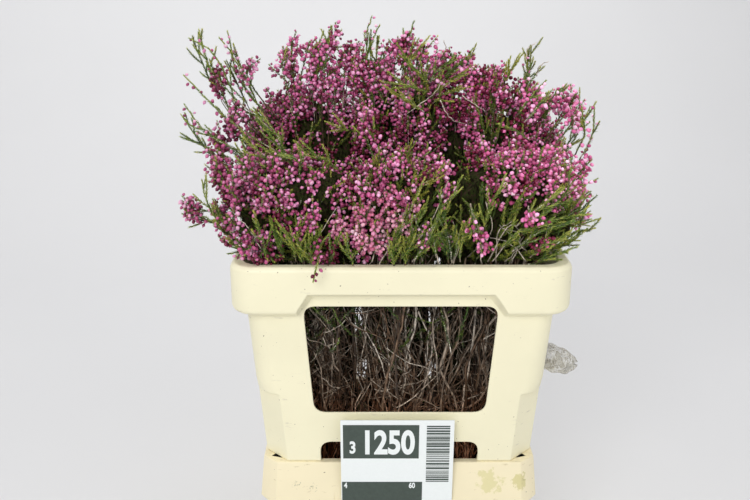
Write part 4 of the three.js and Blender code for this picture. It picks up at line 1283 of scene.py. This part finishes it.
def dark_heart(stock, bunch, draw, finish):
    """Inner mass that stands for the crowded twigs, keeps light from passing through the crown and carries
    painted shade.
    """
    middle, half = np.array(bunch["middle"], float), np.array(bunch["half"], float)
    foot = in_cell(bunch["cell"], SPLIT + 1, 0, 0)
    top = RIM + middle[2] + half[2] * 0.72
    wide, deep = (1.2, 0.8) if bunch["cell"][1] < 0 else (1.36, 1)
    # It leans towards the middle of the whole, where the outer sprays don't show it
    inward = bunch["cell"][0] * 7
    rows = []
    for share in np.linspace(0, 1, 22):
        swell = 0.66 * math.sqrt(max(0.02, 1 - max(0, (share - 0.5) / 0.5) ** 3)) * min(1, 0.74 + share)
        x, y = (foot[k] + (middle[k] - foot[k]) * min(1, share * 1.6) * (0.5, 1)[k] for k in (0, 1))
        z = SPLIT + 2 + (top - SPLIT - 2) * share
        rows.append((x - inward, y, half[0] * swell * wide, half[1] * swell * deep, z))
    ridged_core(stock, rows, 56, draw, finish)


def loose_sprig(stocks, kind, points, heath, draw):
    """A sprig with a place of its own: a bare twig, a spike, a plume or a needled shoot with bells."""
    wood, leaves, bells = stocks
    path = kinked(smooth_path(np.array(points, float) + (0, 0, RIM), 12), draw, 0.5)
    total = arc_lengths(path)[-1]
    if kind == "bare":
        add_tube(wood, path, np.linspace(0.8, 0.4, len(path)), 4, tone=0.85)
    elif kind == "bells":
        flower_spike(wood, leaves, bells, path, heath, draw, 0, length=min(26, total * 0.8))
    elif kind == "plume":
        # Plumes high up get more light, and are a fresher green
        fresh = 0.17 if points[-1][2] > 75 else 0.05
        leafy_spray(wood, leaves, path, heath, draw, fresh=fresh, length=total - 4, spread=0.34)
    else:
        add_tube(wood, path, np.linspace(0.9, 0.45, len(path)), 4, tone=draw.random())
        grow_needles(leaves, path, total * 0.12, heath, draw, fresh=0.05)
        step, faded = (5, 0.4) if kind == "few" else (9, 0.0)
        grow_bells(bells, path, total * 0.7, heath, draw, 0, step=step, wide=0.7, faded=faded)
        if kind == "needles":
            twig = side_shoot(path, total * 0.5, 14 + 8 * draw.random(), 0.36, draw)
            add_tube(wood, twig, np.linspace(0.5, 0.35, len(twig)), 3, tone=draw.random())
            grow_needles(leaves, twig, 2, heath, draw, fresh=0.08)


def build_tops(name, bunch, heath, finishes):
    """Crown of one bunch: its heart, named clumps, outer, middle and inner layers, and loose sprigs."""
    draw = np.random.default_rng(heath.seed * 7 + sum(map(ord, name)))
    wood, leaves, bells = stocks = Stock(), Stock(), Stock()
    dark_heart(leaves, bunch, draw, 1)
    named = [np.array(p, float) for p in bunch["bells"]]
    greens = [np.array(p, float) for p in bunch["leaves"]]

    def flower(tip, buds=BUD_SHARE):
        pale = np.linalg.norm(tip - PALE_MIDDLE) < PALE_REACH and draw.random() < 0.62
        path = spray_path(bunch, tip, draw)
        flower_spike(wood, leaves, bells, path, heath, draw, 1 if pale else 0, buds=buds)

    def leafy(tip, steps=8, **looks):
        leafy_spray(wood, leaves, spray_path(bunch, tip, draw, steps), heath, draw, **looks)

    for centre in named:
        for spread in (0, 1):
            flower(centre + draw.normal(size=3) * (9, 6, 9) * spread)
    for centre in greens:
        for spread in (0, 1):
            leafy(centre + draw.normal(size=3) * (10, 6, 10) * spread, fresh=0.08)
    for tip in crown_tips(bunch, draw, 20.6, (0.9, 1.05), 300, named + greens):
        if draw.random() > green_share(tip):
            flower(tip)
        else:
            leafy(tip, sprigs=3, length=52)
    # Buds fill the gaps between the outer spikes, and dull sprigs what is left behind them
    for tip in crown_tips(bunch, draw, 23, (0.74, 0.86), 200, []):
        if tip[2] > 70 and (tip[1] < 60 or tip[2] > 140):
            flower(tip, 1)
    for tip in crown_tips(bunch, draw, 26, (0.66, 0.8), 120, []):
        if tip[1] <= 80:
            leafy(tip, 6, sprigs=2, fresh=-0.3, length=46, step=3)
    for kind, points in LOOSE[name]:
        loose_sprig(stocks, kind, points, heath, draw)
    node = [f"bunch_{name}_tops"]
    bark, needles, heart, magenta, salmon = finishes
    needle_mesh = leaves.mesh(f"needles_{name}", smooth=False)
    place_piece(f"twigs_{name}", wood.mesh(f"twigs_{name}"), [bark], node)
    place_piece(f"needles_{name}", needle_mesh, [needles, heart], node)
    place_piece(f"bells_{name}", bells.mesh(f"bells_{name}"), [magenta, salmon], node)


# Finishes


# Kinds of node by their plain names
COORDINATES = "ShaderNodeTexCoord"
MAPPING = "ShaderNodeMapping"
NOISE = "ShaderNodeTexNoise"
RAMP = "ShaderNodeValToRGB"
MIX = "ShaderNodeMix"
MATH = "ShaderNodeMath"
BUMP = "ShaderNodeBump"
PARTS = "ShaderNodeSeparateXYZ"
# Settings of the two ways of mixing: a share, its two colours and the output that holds the result
BLEND = {"data_type": "RGBA", "blend_type": "MIX"}
MULTIPLY = {"data_type": "RGBA", "blend_type": "MULTIPLY", 0: 1.0}
SHARE, FIRST, SECOND, MIXED = 0, 6, 7, 2


def add_node(material, kind, output, settings=()):
    """One node and the output that is read from it.

    A setting is a property, an input's value, another node's output for an input, or a ramp's stops.
    """
    tree = material.node_tree
    node = tree.nodes.new(kind)
    for key, value in dict(settings).items():
        if key == "stops":
            elements = node.color_ramp.elements
            while len(elements) < len(value):
                elements.new(0.5)
            for element, (place, colour) in zip(elements, value):
                element.position, element.color = place, (*colour, 1)
        elif isinstance(value, bpy.types.NodeSocket):
            tree.links.new(value, node.inputs[key])
        elif isinstance(key, int) or key in node.inputs:
            socket = node.inputs[key]
            socket.default_value = (*value, 1) if socket.type == "RGBA" else value
        else:
            setattr(node, key, value)
    return node.outputs[output]


def new_material(name, base, roughness, **sockets):
    """Principled finish with constant sockets; returns the material and its object coordinates."""
    material = bpy.data.materials.new(name)
    material.use_nodes = True
    shader = material.node_tree.nodes["Principled BSDF"]
    shader.inputs["Base Color"].default_value = (*base, 1)
    shader.inputs["Roughness"].default_value = roughness
    for key, value in sockets.items():
        shader.inputs[key.replace("_", " ")].default_value = value
    return material, add_node(material, COORDINATES, "Object")


def feed_shader(material, sources):
    """Links outputs to the shader's sockets, which finishes the material."""
    shader = material.node_tree.nodes["Principled BSDF"]
    for socket, source in sources.items():
        material.node_tree.links.new(source, shader.inputs[socket])
    return material


def per_mm(millimetres):
    """Scale of a pattern whose largest features measure a number of millimetres."""
    return 1 / (millimetres * MM)


def shade(colour, amount):
    """The same colour, darker or lighter."""
    return tuple(c * amount for c in colour)


def grey(value):
    """Neutral colour for masks and factors."""
    return (value,) * 3


def stain(material, place, middle, reach, size, cover):
    """Mask of one stain: its middle, its reach, its blotches' size in millimetres and the share covered."""
    centre = tuple(v * MM for v in middle)
    distance = {"operation": "DISTANCE", 0: place, 1: centre}
    away = add_node(material, "ShaderNodeVectorMath", "Value", distance)
    pattern = {"Vector": place, "Scale": per_mm(size), "Detail": 5, "Roughness": 0.7}
    blotches = add_node(material, NOISE, "Fac", pattern)
    scaled = add_node(material, MATH, 0, {"operation": "MULTIPLY", 0: away, 1: 0.5 / (reach * MM)})
    total = add_node(material, MATH, 0, {"operation": "ADD", 0: scaled, 1: blotches})
    stops = [(cover, grey(0.85)), (cover + 0.06, grey(0))]
    return add_node(material, RAMP, 0, {"Fac": total, "stops": stops})


# Stains on the bucket: middle, reach, size of the blotches, share covered and colour
SKIRT_FACE = -SKIRT_HALF[1]
BUCKET_STAINS = (
    ((114, SKIRT_FACE, BUCKET_TOP - 26), 30, 14, 0.7, 0xE6DDA6),
    ((152, SKIRT_FACE + 3, BUCKET_TOP - 26), 20, 10, 0.7, 0xDCD296),
    ((156, SKIRT_FACE + 6, BUCKET_TOP - 24), 24, 3, 0.44, 0x857E58),
    ((-129, SKIRT_FACE, BUCKET_TOP - 29), 30, 3, 0.46, 0xA9A684),
    ((-110, SKIRT_FACE, BUCKET_TOP - 35), 30, 3, 0.46, 0xA9A684),
    ((-60, 127, BUCKET_TOP - 40), 24, 12, 0.7, 0xE6DDA6),
)


def moulded_polypropylene(settings, part):
    """Moulded polypropylene: satin, faintly waxy, with a fine grain, scuffs and grey handling marks."""
    base = tuple(getattr(settings, part))
    material, place = new_material(f"moulded_polypropylene_{part}", base, 0.42, IOR=1.49)
    cloudy = add_node(material, NOISE, "Fac", {"Vector": place, "Scale": per_mm(90), "Detail": 4})
    stops = [(0.3, shade(base, 0.955)), (0.62, base)]
    tint = add_node(material, RAMP, 0, {"Fac": cloudy, "stops": stops})
    # Scuffs are thin dull streaks, a few tens of millimetres long
    drawn = add_node(material, MAPPING, 0, {"Vector": place, "Scale": (1, 1, 3.5)})
    pattern = {"Vector": drawn, "Scale": per_mm(26), "Detail": 6, "Roughness": 0.62}
    streaks = add_node(material, NOISE, "Fac", pattern)
    mask = add_node(material, RAMP, 0, {"Fac": streaks, "stops": [(0.64, grey(0)), (0.74, grey(1))]})
    worn = linear(0xDDD6BC) if part == "collar" else linear(0xC9B98F)
    tint = add_node(material, MIX, MIXED, {**BLEND, SHARE: mask, FIRST: tint, SECOND: worn})
    # A few crumbs of soil cling to it
    specks = add_node(material, NOISE, "Fac", {"Vector": place, "Scale": per_mm(3.4), "Detail": 1})
    crumbs = add_node(material, RAMP, 0, {"Fac": specks, "stops": [(0.77, grey(0)), (0.8, grey(0.9))]})
    tint = add_node(material, MIX, MIXED, {**BLEND, SHARE: crumbs, FIRST: tint, SECOND: linear(0x75654A)})
    if part == "bucket":
        for *spot, colour in BUCKET_STAINS:
            mixing = {SHARE: stain(material, place, *spot), FIRST: tint, SECOND: linear(colour)}
            tint = add_node(material, MIX, MIXED, {**BLEND, **mixing})
    # Dust and soil settle on what faces up
    normal = add_node(material, "ShaderNodeNewGeometry", "Normal")
    up = add_node(material, PARTS, "Z", {0: normal})
    facing = add_node(material, RAMP, 0, {"Fac": up, "stops": [(0.75, grey(0)), (0.98, grey(1))]})
    pattern = {"Vector": place, "Scale": per_mm(14), "Detail": 6, "Roughness": 0.7}
    soil = add_node(material, NOISE, "Fac", pattern)
    grime = add_node(material, RAMP, 0, {"Fac": soil, "stops": [(0.46, grey(0)), (0.66, grey(0.4))]})
    settled = add_node(material, MIX, MIXED, {**MULTIPLY, FIRST: facing, SECOND: grime})
    tint = add_node(material, MIX, MIXED, {**BLEND, SHARE: settled, FIRST: tint, SECOND: linear(0xC4B896)})
    rough = add_node(material, RAMP, 0, {"Fac": streaks, "stops": [(0.4, grey(0.38)), (0.75, grey(0.55))]})
    # Spark-eroded mould grain, drawn at 1.2 mm so that it shows at this size
    grain = add_node(material, NOISE, "Fac", {"Vector": place, "Scale": per_mm(1.2), "Detail": 2})
    bump = add_node(material, BUMP, "Normal", {"Strength": 0.12, "Distance": 0.15 * MM, "Height": grain})
    return feed_shader(material, {"Base Color": tint, "Roughness": rough, "Normal": bump})


def coated_card(settings):
    """Coated card: matt white with a trace of fibre. Its first use makes it, and later ones share it."""
    if "coated_card" in bpy.data.materials:
        return bpy.data.materials["coated_card"]
    base = tuple(settings.card)
    material, place = new_material("coated_card", base, 0.6)
    pattern = {"Vector": place, "Scale": per_mm(3), "Detail": 4, "Roughness": 0.6}
    fibre = add_node(material, NOISE, "Fac", pattern)
    tint = add_node(material, RAMP, 0, {"Fac": fibre, "stops": [(0.3, shade(base, 0.97)), (0.7, base)]})
    return feed_shader(material, {"Base Color": tint})


def offset_ink(settings):
    """Offset-printed ink: dark grey green, a little uneven where it lies on the card."""
    base = tuple(settings.ink)
    material, place = new_material("offset_ink", base, 0.5)
    pattern = {"Vector": place, "Scale": per_mm(5), "Detail": 5, "Roughness": 0.6}
    laid = add_node(material, NOISE, "Fac", pattern)
    stops = [(0.3, shade(base, 0.86)), (0.7, shade(base, 1.1))]
    tint = add_node(material, RAMP, 0, {"Fac": laid, "stops": stops})
    return feed_shader(material, {"Base Color": tint})


def cast_polyethylene():
    """Cast polyethylene film: clear, with painted glints and painted shade along its creases."""
    base = linear(0xDCD8CA)
    material, place = new_material("cast_polyethylene_film", base, 0.12, Alpha=0.36, IOR=1.5)
    drawn = add_node(material, MAPPING, 0, {"Vector": place, "Scale": (1, 1, 0.6)})
    pattern = {"Vector": drawn, "Scale": per_mm(13), "Detail": 4, "Roughness": 0.6}
    crease = add_node(material, NOISE, "Fac", pattern)
    # Painted shade in a thin dark line and a painted glint in a white line, both along the creases
    stops = [
        (0.42, base),
        (0.44, linear(0x857D70)),
        (0.46, base),
        (0.52, grey(1)),
        (0.56, base),
        (0.66, linear(0xBFBCB0)),
    ]
    tint = add_node(material, RAMP, 0, {"Fac": crease, "stops": stops})
    # Light catches on the creases, so they show whiter and denser than the flat film
    stops = [(0.42, grey(0.36)), (0.44, grey(0.6)), (0.52, grey(0.5)), (0.56, grey(0.32))]
    dense = add_node(material, RAMP, 0, {"Fac": crease, "stops": stops})
    bump = add_node(material, BUMP, "Normal", {"Strength": 1.0, "Distance": 1.2 * MM, "Height": crease})
    return feed_shader(material, {"Base Color": tint, "Alpha": dense, "Normal": bump})


def vulcanised_rubber():
    """Vulcanised rubber: dull reddish brown with a dusty bloom."""
    base = linear(0x7B3B2C)
    material, place = new_material("vulcanised_rubber", base, 0.62)
    bloom = add_node(material, NOISE, "Fac", {"Vector": place, "Scale": per_mm(2), "Detail": 4})
    tint = add_node(material, RAMP, 0, {"Fac": bloom, "stops": [(0.35, base), (0.75, linear(0x9A5A48))]})
    return feed_shader(material, {"Base Color": tint})


# A point's two tones: the share along its form, and its form's own draw
ALONG, OWN = "Red", "Green"


def point_tone(material, which):
    """One of the two tones that every point carries."""
    attribute = add_node(material, "ShaderNodeAttribute", "Color", {"attribute_name": "tone"})
    return add_node(material, "ShaderNodeSeparateColor", which, {0: attribute})


def heath_bark(heath):
    """Young heath bark: dull grey brown, flaking to pale grey, each stem in a tone of its own."""
    base = tuple(heath.bark)
    material, place = new_material("heath_bark", base, 0.6)
    stops = [
        (0.0, shade(base, 0.2)),
        (0.4, shade(base, 0.72)),
        (0.7, linear(0xA39382)),
        (1.0, linear(0xE8DCCC)),
    ]
    tint = add_node(material, RAMP, 0, {"Fac": point_tone(material, OWN), "stops": stops})
    drawn = add_node(material, MAPPING, 0, {"Vector": place, "Scale": (1, 1, 0.3)})
    pattern = {"Vector": drawn, "Scale": per_mm(3), "Detail": 4, "Roughness": 0.65}
    peeling = add_node(material, NOISE, "Fac", pattern)
    stops = [(0.42, grey(0.36)), (0.58, grey(1.35))]
    flakes = add_node(material, RAMP, 0, {"Fac": peeling, "stops": stops})
    tint = add_node(material, MIX, MIXED, {**MULTIPLY, FIRST: tint, SECOND: flakes})
    # Painted light: low in the container the bark turns a brighter reddish brown, as the warm light that
    # glows through the cream plastic
    height = add_node(material, PARTS, "Z", {0: place})
    stops = [(0.245, (1.8, 1.1, 0.8)), (0.3, (1.0, 0.9, 0.82)), (0.36, grey(1))]
    painted_warm_glow_low = add_node(material, RAMP, 0, {"Fac": height, "stops": stops})
    tint = add_node(material, MIX, MIXED, {**MULTIPLY, FIRST: tint, SECOND: painted_warm_glow_low})
    return feed_shader(material, {"Base Color": tint})


def heath_needles(heath):
    """Evergreen needles: satin green, fresh yellow green at the shoot tips."""
    base = tuple(heath.needles)
    material, place = new_material("heath_needles", base, 0.5)
    stops = [(0.0, linear(0x2A3F20)), (0.38, base), (0.7, linear(0x8AA040)), (1.0, linear(0xCBCB62))]
    tint = add_node(material, RAMP, 0, {"Fac": point_tone(material, OWN), "stops": stops})
    # Whole sprays differ a little from one another
    broad = add_node(material, NOISE, "Fac", {"Vector": place, "Scale": per_mm(60), "Detail": 2})
    stops = [(0.35, (0.8, 0.92, 0.85)), (0.7, (1.15, 1.05, 0.9))]
    patch = add_node(material, RAMP, 0, {"Fac": broad, "stops": stops})
    tint = add_node(material, MIX, MIXED, {**MULTIPLY, FIRST: tint, SECOND: patch})
    # Painted shade: each needle is darker at its foot, where the needles crowd the stem, and lighter towards
    # its tip
    stops = [(0.0, (0.42, 0.46, 0.42)), (0.55, grey(1)), (1.0, (1.3, 1.25, 1.1))]
    length = add_node(material, RAMP, 0, {"Fac": point_tone(material, ALONG), "stops": stops})
    tint = add_node(material, MIX, MIXED, {**MULTIPLY, FIRST: tint, SECOND: length})
    return feed_shader(material, {"Base Color": tint})


def painted_shade_mass():
    """Painted shade of the crown's inside: almost black brown, streaked with the dim colours of what grows
    among the inner twigs.
    """
    material, place = new_material("dead_inner_twigs", linear(0x241A14), 1.0, Specular_IOR_Level=0.05)
    drawn = add_node(material, MAPPING, 0, {"Vector": place, "Scale": (1, 1, 0.4)})
    pattern = {"Vector": drawn, "Scale": per_mm(3), "Detail": 5, "Roughness": 0.7}
    streaks = add_node(material, NOISE, "Fac", pattern)
    # Painted shade: near black, with dim streaks of the greens, browns and magentas that stand in the shade
    stops = [
        (0.38, linear(0x0C0807)),
        (0.46, linear(0x211A12)),
        (0.52, linear(0x35431C)),
        (0.55, linear(0x130E0B)),
        (0.6, linear(0x4A3A2E)),
        (0.64, linear(0x150D0C)),
        (0.7, linear(0x6A2A48)),
    ]
    tint = add_node(material, RAMP, 0, {"Fac": streaks, "stops": stops})
    return feed_shader(material, {"Base Color": tint})


def heath_bells(name, dark, base, light):
    """Waxy heath bells: satin, dusky at the stalk, paler towards the mouth, with painted shade at the mouth.
    """
    material, place = new_material(name, base, 0.42, Subsurface_Weight=0.12, Subsurface_Scale=0.002)
    stops = [(0.0, dark), (0.4, base), (0.75, light), (1.0, linear(0xFFE0EE))]
    tint = add_node(material, RAMP, 0, {"Fac": point_tone(material, OWN), "stops": stops})
    # Along each bell: dusky calyx at the foot, paler towards the mouth, and painted shade at the middle of
    # the mouth, where the opening would be
    stops = [
        (0.0, (0.45, 0.36, 0.26)),
        (0.25, grey(0.93)),
        (0.7, (1.18, 1.14, 1.14)),
        (0.93, (1, 0.9, 0.95)),
        (1.0, (0.3, 0.16, 0.2)),
    ]
    ends = add_node(material, RAMP, 0, {"Fac": point_tone(material, ALONG), "stops": stops})
    tint = add_node(material, MIX, MIXED, {**MULTIPLY, FIRST: tint, SECOND: ends})
    # Painted light: bells towards the right are coloured paler, and those towards the left darker
    across = add_node(material, PARTS, "X", {0: place})
    spread = add_node(material, MATH, 0, {"operation": "MULTIPLY_ADD", 0: across, 1: 2.0, 2: 0.5})
    stops = [(0.1, (0.8, 0.76, 0.78)), (0.5, grey(1)), (0.8, (1.24, 1.3, 1.26))]
    painted_side_light = add_node(material, RAMP, 0, {"Fac": spread, "stops": stops})
    tint = add_node(material, MIX, MIXED, {**MULTIPLY, FIRST: tint, SECOND: painted_side_light})
    return feed_shader(material, {"Base Color": tint})


# Stage


# Soft boxes: place, size, share of the key light's power and what they aim at
SOFT_BOXES = {
    "key_box": ((-0.75, -2.5, 2.0), (1.4, 1.1), 1.08, (0, 0, 0.45)),
    "fill_box": ((1.8, -1.8, 1.5), (1.6, 1.4), 0.2, (0, 0, 0.4)),
    "top_box": ((0.2, 0.5, 2.8), (1.6, 1.2), 0.5, (0, 0, 0.5)),
    "paper_box": ((-1.8, 0.9, 2.9), (1.6, 1.0), 0.75, (-0.6, 2.8, 1.8)),
    "sweep_box": ((0.3, 1.8, 1.8), (2.0, 0.5), 0.12, (0.5, 2.8, 0.8)),
}
# Camera: across, in front, above the rim and pitch below level, all fitted to the photograph
CAMERA_ACROSS = -0.03027
CAMERA_FRONT = -1.1029
CAMERA_ABOVE = 0.3313
CAMERA_PITCH = 0.3135


def build_paper(stage):
    """Seamless paper that lies flat under the object and sweeps up behind it."""
    bend, back, half_width = 1.6, 1.2, 5.0
    profile = [(-4.5, 0), (back, 0)]
    for a in np.linspace(0.1, math.pi / 2, 16):
        profile.append((back + bend * math.sin(a), bend - bend * math.cos(a)))
    profile.append((2.8, 5.5))
    points = [(x, y, z) for y, z in profile for x in (-half_width, half_width)]
    faces = [(2 * i, 2 * i + 1, 2 * i + 3, 2 * i + 2) for i in range(len(profile) - 1)]
    mesh = bpy.data.meshes.new("seamless_paper")
    mesh.from_pydata(points, [], faces)
    for face in mesh.polygons:
        face.use_smooth = True
    paper = bpy.data.objects.new("seamless_paper", mesh)
    bpy.context.scene.collection.objects.link(paper)
    base = tuple(stage.backdrop)
    material, place = new_material("seamless_paper", base, 0.95)
    cloudy = add_node(material, NOISE, "Fac", {"Vector": place, "Scale": per_mm(400), "Detail": 2})
    tint = add_node(material, RAMP, 0, {"Fac": cloudy, "stops": [(0.3, shade(base, 0.985)), (0.7, base)]})
    mesh.materials.append(feed_shader(material, {"Base Color": tint}))
    paper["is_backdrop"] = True


def build_lights(stage):
    """Even pale surroundings and the soft boxes."""
    world = bpy.data.worlds.new("studio")
    world.use_nodes = True
    surroundings = world.node_tree.nodes["Background"].inputs
    surroundings["Color"].default_value = (*linear(0xF7F7F8), 1)
    surroundings["Strength"].default_value = 0.62
    bpy.context.scene.world = world
    for name, (place, size, share, aim) in SOFT_BOXES.items():
        lamp = bpy.data.lights.new(name, "AREA")
        lamp.shape, lamp.size, lamp.size_y, lamp.energy = "RECTANGLE", size[0], size[1], stage.key * share
        made = bpy.data.objects.new(name, lamp)
        made.location = place
        made.rotation_euler = (Vector(aim) - Vector(place)).to_track_quat("-Z", "Y").to_euler()
        bpy.context.scene.collection.objects.link(made)


def build_camera(stage):
    """Camera at the photograph's viewing angle."""
    lens = bpy.data.cameras.new("camera")
    lens.lens, lens.sensor_width, lens.clip_start, lens.clip_end = stage.lens, 36, 0.05, 60
    camera = bpy.data.objects.new("camera", lens)
    camera.location = (CAMERA_ACROSS, CAMERA_FRONT, RIM * MM + CAMERA_ABOVE)
    camera.rotation_euler = (math.pi / 2 - CAMERA_PITCH, 0, 0)
    bpy.context.scene.collection.objects.link(camera)
    bpy.context.scene.camera = camera
    bpy.context.scene.view_settings.view_transform = "Standard"


# Operators and panel


class HEATH_OT_stage(bpy.types.Operator):
    """Sets the paper backdrop, the soft light and the camera"""

    bl_idname = "heath.stage"
    bl_label = "Stage"

    def execute(self, context):
        stage = context.scene.heath_stage
        build_paper(stage)
        build_lights(stage)
        build_camera(stage)
        return {"FINISHED"}


class HEATH_OT_collar(bpy.types.Operator):
    """Builds the windowed collar"""

    bl_idname = "heath.collar"
    bl_label = "Collar"

    def execute(self, context):
        build_collar(context.scene.heath_container)
        return {"FINISHED"}


class HEATH_OT_bucket(bpy.types.Operator):
    """Builds the bucket with its card pocket"""

    bl_idname = "heath.bucket"
    bl_label = "Bucket"

    def execute(self, context):
        build_bucket(context.scene.heath_container)
        return {"FINISHED"}


class HEATH_OT_card(bpy.types.Operator):
    """Builds the card and its plain print"""

    bl_idname = "heath.card"
    bl_label = "Card"

    def execute(self, context):
        build_card(context.scene.heath_container)
        return {"FINISHED"}


class HEATH_OT_film(bpy.types.Operator):
    """Builds the crumpled tip of clear film"""

    bl_idname = "heath.film"
    bl_label = "Film"

    def execute(self, context):
        build_film()
        return {"FINISHED"}


class HEATH_OT_bands(bpy.types.Operator):
    """Builds the rubber bands round the sheaves"""

    bl_idname = "heath.bands"
    bl_label = "Rubber bands"

    def execute(self, context):
        build_bands()
        return {"FINISHED"}


class HEATH_OT_stems(bpy.types.Operator):
    """Builds the woody stems of every bunch"""

    bl_idname = "heath.stems"
    bl_label = "Stems"

    def execute(self, context):
        heath = context.scene.heath_plants
        finishes = (heath_bark(heath), heath_needles(heath), painted_shade_mass())
        for name, bunch in BUNCHES.items():
            build_stems(name, bunch, heath, finishes)
        return {"FINISHED"}


class HEATH_OT_tops(bpy.types.Operator):
    """Builds the twigs, needles and bells of every bunch"""

    bl_idname = "heath.tops"
    bl_label = "Tops"

    def execute(self, context):
        heath = context.scene.heath_plants
        magenta = heath_bells("magenta_bells", linear(0x6C1034), tuple(heath.bells), linear(0xFCB4DE))
        salmon = heath_bells("salmon_bells", linear(0xC86A8C), tuple(heath.pale_bells), linear(0xF3BCCB))
        grown = (bpy.data.materials[name] for name in ("heath_bark", "heath_needles", "dead_inner_twigs"))
        finishes = (*grown, magenta, salmon)
        for name, bunch in BUNCHES.items():
            build_tops(name, bunch, heath, finishes)
        return {"FINISHED"}


class HEATH_PT_panel(bpy.types.Panel):
    """Settings and steps of the heath and its container"""

    bl_label = "Heath"
    bl_idname = "HEATH_PT_panel"
    bl_space_type = "VIEW_3D"
    bl_region_type = "UI"
    bl_category = "Heath"

    def draw(self, context):
        for group in (context.scene.heath_container, context.scene.heath_plants, context.scene.heath_stage):
            for name in group.__annotations__:
                self.layout.prop(group, name)
        for operator in OPERATORS:
            self.layout.operator(operator.bl_idname)


OPERATORS = (
    HEATH_OT_stage,
    HEATH_OT_collar,
    HEATH_OT_bucket,
    HEATH_OT_card,
    HEATH_OT_film,
    HEATH_OT_bands,
    HEATH_OT_stems,
    HEATH_OT_tops,
)
CLASSES = (ContainerSettings, HeathSettings, StageSettings, *OPERATORS, HEATH_PT_panel)


def register():
    """Registers the classes and hangs the settings on the scene."""
    for kind in CLASSES:
        bpy.utils.register_class(kind)
    bpy.types.Scene.heath_container = PointerProperty(type=ContainerSettings)
    bpy.types.Scene.heath_plants = PointerProperty(type=HeathSettings)
    bpy.types.Scene.heath_stage = PointerProperty(type=StageSettings)


def unregister():
    """Takes the settings off the scene and the classes out."""
    for name in ("heath_container", "heath_plants", "heath_stage"):
        delattr(bpy.types.Scene, name)
    for kind in reversed(CLASSES):
        bpy.utils.unregister_class(kind)


def main():
    """Runs every operator in order."""
    register()
    for operator in OPERATORS:
        group, step = operator.bl_idname.split(".")
        getattr(getattr(bpy.ops, group), step)()
    boxes = {"cad": CAD_BOUNDS, "visual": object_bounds()}
    {key: [list(corner) for corner in box] for key, box in boxes.items()}


if __name__ == "__main__":
    main()
